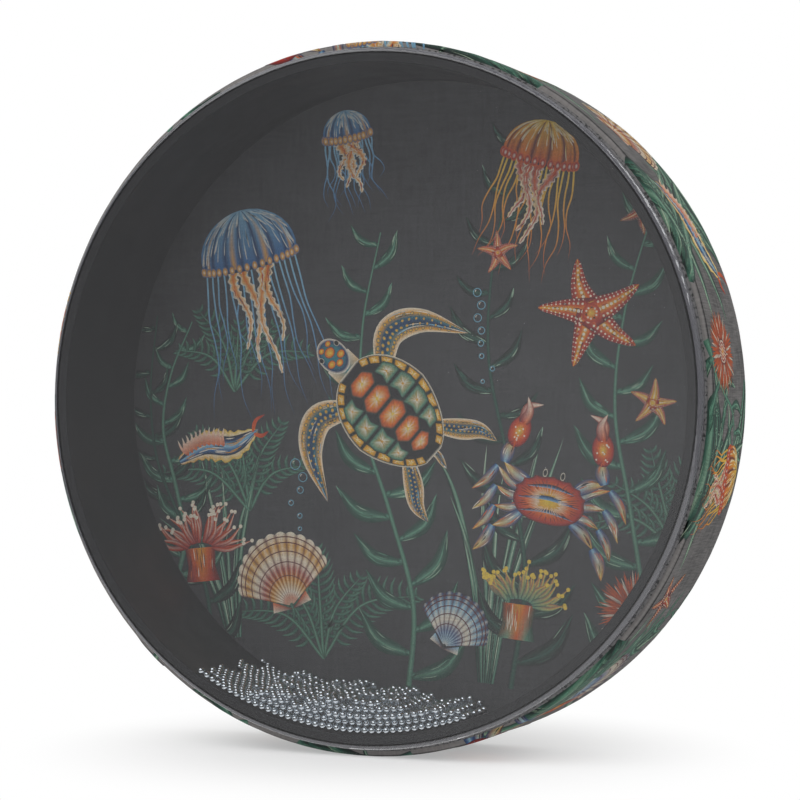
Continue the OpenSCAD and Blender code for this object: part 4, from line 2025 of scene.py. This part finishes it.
@dataclass
class ClothCover:
    """The printed cloth round the rim, turned in over both hoops, with its lap and frayed cut edges."""

    sizes: DrumSizes
    columns: int = 1080
    side_rows: int = 24
    fold_rows: int = 5
    flange_rows: int = 2
    fray_mm: float = 0.34
    stand_off_mm: float = 0.1
    crease_mm: float = 0.45
    step_mm: float = 0.03
    sharp_deg: float = 50.0
    fray_seed: int = 7
    art_seed: int = 23
    groups: int = 18

    def surface(self) -> CoverSurface:
        """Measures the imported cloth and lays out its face.

        Returns:
            The face.
        """
        low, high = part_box("cloth_cover")
        front_inner = radii_of("front_head", self.sizes.axis_z)[1] / MM + self.stand_off_mm
        rear_inner = self.sizes.crest_r / MM + self.stand_off_mm
        hoop_r = radii_of("front_hoop", self.sizes.axis_z)[1] / MM
        outer = hoop_r + self.stand_off_mm / 2 + CoverSurface.cloth
        return CoverSurface(self.sizes.axis_z, low.y, high.y, outer, (front_inner, rear_inner))

    def build(self) -> None:
        """Makes the cloth and lays the ink on it."""
        surface = self.surface()
        cloth = self._cloth(surface)
        # The cover cloth gets painted light on its flanges and painted shade in its fold crease.
        woven = WovenCloth("charcoal_cover_cloth", "#6e6b6a", "#29292a",
                           crease_mm=surface.half_run + self.crease_mm)
        fit_out(cloth, woven.material())
        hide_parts("cloth_cover")
        ink = lay_ink("cover_print", self.art(surface), surface)
        fit_out(ink, PigmentInk("pigment_ink_on_cover", 0.85, 0.16, "#5f5e5f").material())

    def _cloth(self, surface: CoverSurface) -> Object:
        """Makes the cloth as one closed skin with its real thickness.

        Args:
            surface: The cloth's outer face.

        Returns:
            The piece.
        """
        half, fold, flanges = surface.half_run, surface.fold_run, surface.flange_runs
        side = list(np.linspace(-half, half, self.side_rows + 1))
        folds = [half + fold * (k + 1) / self.fold_rows for k in range(self.fold_rows)]
        front, rear = ([half + fold + flange * (k + 1) / self.flange_rows for k in range(self.flange_rows)]
                       for flange in flanges)
        across = np.array([-v for v in reversed(folds + front)] + side + folds + rear)
        step = radians(surface.lap_turn) * surface.radius
        around = np.union1d(np.linspace(0, surface.round_run, self.columns, endpoint=False),
                            [step - self.step_mm, step + self.step_mm])
        dice = random.Random(self.fray_seed)
        frays = np.array([[dice.uniform(0.05, self.fray_mm) for _ in around] for _ in range(2)])
        u, v = np.meshgrid(around, across)
        v = v.copy()
        v[0] += frays[0]
        v[-1] -= frays[1]
        outer = surface.place(u, v, np.zeros_like(u))
        inner = surface.place(u, v, np.full_like(u, -surface.cloth))
        ring = np.concatenate([outer, inner[::-1]])
        flat = np.concatenate([np.stack([u, v], axis=-1), np.stack([u, v], axis=-1)[::-1]])
        rows, columns = ring.shape[:2]
        faces, uvs = [], []
        for r in range(rows):
            below = (r + 1) % rows
            for c in range(columns):
                after = (c + 1) % columns
                faces.append((r * columns + c, r * columns + after,
                              below * columns + after, below * columns + c))
                wrap = (surface.round_run if after == 0 else 0.0, 0)
                uvs += [flat[r, c], flat[r, after] + wrap, flat[below, after] + wrap, flat[below, c]]
        cloth = add_mesh("cloth_wrap", ring.reshape(-1, 3), faces, np.array(uvs))
        cloth.data.set_sharp_from_angle(angle=radians(self.sharp_deg))
        return cloth

    def art(self, surface: CoverSurface) -> Artwork:
        """Composes the print round the rim, one group of motifs after another.

        Args:
            surface: The cloth's face.

        Returns:
            The flat artwork, seen with the drum's rear upwards.
        """
        motifs = (Jellyfish(15, 15, 9, 40), SeaStar(17), Scallop(27, 11), SeaSlug(), Urchin(16, 80),
                  Jellyfish(13, 13, 7, 36, GOLDEN, HOT), SeaStar(14, RUSTY),
                  Scallop(25, 11, 60, (Ink.CREAM, Ink.SKY, Ink.BLUE, Ink.CREAM, Ink.DEEP_BLUE)), Crab())
        tall, low = Grass(84, 24, 4, (3.2, 5.2)), Grass(62, 18, 3, (2.2, 3.8))
        dice = random.Random(self.art_seed)
        behind, before = [], []
        for k in range(self.groups):
            at = surface.round_run * k / self.groups
            lean = dice.uniform(52, 78) * (1 if k % 2 else -1)
            behind.append(Placing(tall, (at + 30, dice.uniform(-34, -6)), lean))
            behind.append(Placing(low, (at + 20, dice.uniform(6, 34)), 180 - lean))
            if k % 3 == 1:
                behind.append(Placing(Kelp(70, 6, 24, 5), (at + 2, -26), lean * 0.7))
            before.append(Placing(motifs[k % len(motifs)], (at + 8, dice.uniform(-26, 22)),
                                  dice.uniform(-80, 80), dice.uniform(1.0, 1.25)))
        return compose(behind, before)


def look_from(item: Object, aim: Vector, azimuth: float, elevation: float, distance: float) -> None:
    """Puts a camera or lamp into the scene, looking at a point.

    Args:
        item: The camera or lamp.
        aim: The point it looks at.
        azimuth: Its angle to the right of the drum's front, in degrees.
        elevation: Its angle above level.
        distance: How far from the point it stands.
    """
    turn, rise = radians(azimuth), radians(elevation)
    away = Vector((sin(turn) * cos(rise), -cos(turn) * cos(rise), sin(rise)))
    item.location = aim + away * distance
    item.rotation_euler = away.to_track_quat("Z", "Y").to_euler()
    bpy.context.scene.collection.objects.link(item)


@dataclass
class Lamp:
    """One soft lamp aimed at the middle of the drum."""

    name: str
    azimuth: float
    elevation: float
    distance: float
    width: float
    height: float
    level: float
    mirrored: bool = True

    def build(self, aim: Vector) -> None:
        """Makes the lamp, so bright that a white card facing it shows its level.

        Args:
            aim: The point it shines at.
        """
        data = bpy.data.lights.new(self.name, "AREA")
        data.shape, data.size, data.size_y = "RECTANGLE", self.width, self.height
        data.energy = self.level * (pi * self.distance) ** 2
        lamp = bpy.data.objects.new(self.name, data)
        look_from(lamp, aim, self.azimuth, self.elevation, self.distance)
        lamp.visible_glossy = self.mirrored


def seen_straight(add: Adder) -> tuple[Node, Node]:
    """Tells what the camera looks at itself, or through the clear head.

    Args:
        add: Adds a node.

    Returns:
        The light's path, and 1 where a thing is looked at.
    """
    path = add("LightPath")
    seen = add("Math", {"operation": "MAXIMUM"},
               {0: path.outputs["Is Camera Ray"], 1: path.outputs["Is Transmission Ray"]})
    return path, seen


@dataclass
class Studio:
    """The camera at the photograph's place, a pale floor, a white surround and soft lamps."""

    sizes: DrumSizes
    azimuth: float = 23.23
    elevation: float = -0.52
    distance: float = 1.0466
    focal_px: float = 2423.0
    face_px: tuple[float, float] = (359.1, 398.2)
    sensor_mm: float = 36.0
    ambient: float = 0.42
    table: float = 1.1
    wall_way: tuple[float, float, float] = (-0.39, -0.92, 0.01)
    floor_half: float = 6.0
    floor_front: float = 0.32
    floor_white: float = 0.86
    fade_from: float = 0.04
    fade_to: float = 0.17
    lamps: tuple[Lamp, ...] = (
        Lamp("key_lamp", -13.0, 5.0, 1.6, 0.45, 0.45, 0.16, mirrored=False),
        Lamp("upper_lamp", -22.0, 46.0, 1.5, 2.0, 1.1, 0.58),
        Lamp("side_lamp", 104.0, 32.0, 1.8, 0.9, 0.9, 0.42),
    )

    def build(self) -> None:
        """Makes the camera, surround, floor and lamps."""
        face = Vector((0, self.sizes.front_y, self.sizes.axis_z))
        self._camera(face)
        self._surround()
        self._floor()
        for lamp in self.lamps:
            lamp.build(Vector((0, 0, self.sizes.axis_z)))
        bpy.context.scene.view_settings.view_transform = "Standard"

    def _camera(self, face: Vector) -> None:
        """Aims the camera so that the clear head's middle falls where the photograph has it.

        Args:
            face: The clear head's middle.
        """
        data = bpy.data.cameras.new("camera")
        data.sensor_width = self.sensor_mm
        data.lens = self.focal_px / PICTURE_PX * self.sensor_mm
        data.shift_x = (PICTURE_PX / 2 - self.face_px[0]) / PICTURE_PX
        data.shift_y = (self.face_px[1] - PICTURE_PX / 2) / PICTURE_PX
        camera = bpy.data.objects.new("camera", data)
        look_from(camera, face, self.azimuth, self.elevation, self.distance)
        bpy.context.scene.camera = camera

    def _surround(self) -> None:
        """Makes the world: white where it shows, plain ambient light, and a dim room before the drum."""
        world = bpy.data.worlds.new("surround")
        bpy.context.scene.world = world
        world.use_nodes = True
        world.node_tree.nodes.clear()
        add = partial(add_node, world.node_tree)
        path, seen = seen_straight(add)
        way = add("TexCoord").outputs["Generated"]
        parts = add("SeparateXYZ", links={"Vector": way})
        # Mirrored, the room is dim, but for the top of the backdrop, which the skirt catches at its
        # upper right, and a patch of pale wall that the clear head catches.
        above = add("MapRange", {"From Min": 0.08, "From Max": 0.3, "To Min": 0.12, "To Max": 0.85},
                    {"Value": parts.outputs["Z"]})
        behind = add("MapRange", {"From Min": -0.15, "From Max": 0.2, "To Min": 0.08},
                     {"Value": parts.outputs["Y"], "To Max": above})
        ahead = add("MapRange", {"From Min": -0.52, "From Max": -0.26, "To Min": 0.31, "To Max": 0.5,
                                 "interpolation_type": "SMOOTHSTEP"}, {"Value": parts.outputs["X"]})
        lower = add("MapRange", {"From Max": 0.12, "To Min": 1.0, "To Max": 0.7},
                    {"Value": parts.outputs["Z"]})
        shaded = add("Math", {"operation": "MULTIPLY"}, {0: ahead, 1: lower})
        facing = add("VectorMath", {"operation": "DOT_PRODUCT", 1: self.wall_way}, {0: way})
        patch = add("MapRange", {"From Min": 0.94, "From Max": 0.975}, {"Value": facing.outputs["Value"]})
        wall = add("Math", {"operation": "MULTIPLY"}, {0: shaded, 1: patch})
        around = add("Math", {"operation": "MAXIMUM"}, {0: behind, 1: wall})
        # The beads catch the white table before the drum on their undersides.
        table = add("MapRange", {"From Min": -0.2, "From Max": -0.36, "To Max": self.table},
                    {"Value": parts.outputs["Z"]})
        room = add("Math", {"operation": "MAXIMUM"}, {0: around, 1: table})
        mirrored = add("Mix", {2: self.ambient}, {"Factor": path.outputs["Is Glossy Ray"], 3: room})
        strength = add("Mix", {3: 1.0}, {"Factor": seen, 2: mirrored})
        back = add("Background", {"Color": WHITE}, {"Strength": strength})
        add("OutputWorld", links={"Surface": back})

    def _floor(self) -> None:
        """Makes the pale floor, which fades to white away from the drum and keeps its shadow near it."""
        half, front = self.floor_half, self.floor_front
        corners = np.array([(-half, -front, 0), (half, -front, 0), (half, half, 0), (-half, half, 0)])
        floor = add_mesh("floor", corners, [(0, 1, 2, 3)])
        material, add = empty_material("matt_white_board")
        place = add("TexCoord").outputs["Object"]
        length = add("VectorMath", {"operation": "LENGTH"}, {0: place}).outputs["Value"]
        far = add("MapRange", {"From Min": self.fade_from, "From Max": self.fade_to, "To Min": 0.38,
                               "interpolation_type": "SMOOTHSTEP"}, {"Value": length})
        share = add("Math", {"operation": "MULTIPLY"}, {0: far, 1: seen_straight(add)[1]})
        board = add("BsdfDiffuse", {"Color": (*[self.floor_white] * 3, 1.0)})
        glow = add("Emission", {"Color": WHITE})
        both = add("MixShader", links={0: share, 1: board, 2: glow})
        add("OutputMaterial", links={"Surface": both})
        floor.data.materials.append(material)
        floor.visible_glossy = False


def main() -> None:
    """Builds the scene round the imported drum."""
    logging.basicConfig(level=logging.INFO, format="%(message)s")
    sizes = DrumSizes.from_frame()
    Studio(sizes).build()
    Chamber(sizes).build()
    BeadPile().build()
    PrintedHead(sizes).build()
    ClothCover(sizes).build()


if __name__ == "__main__":
    main()
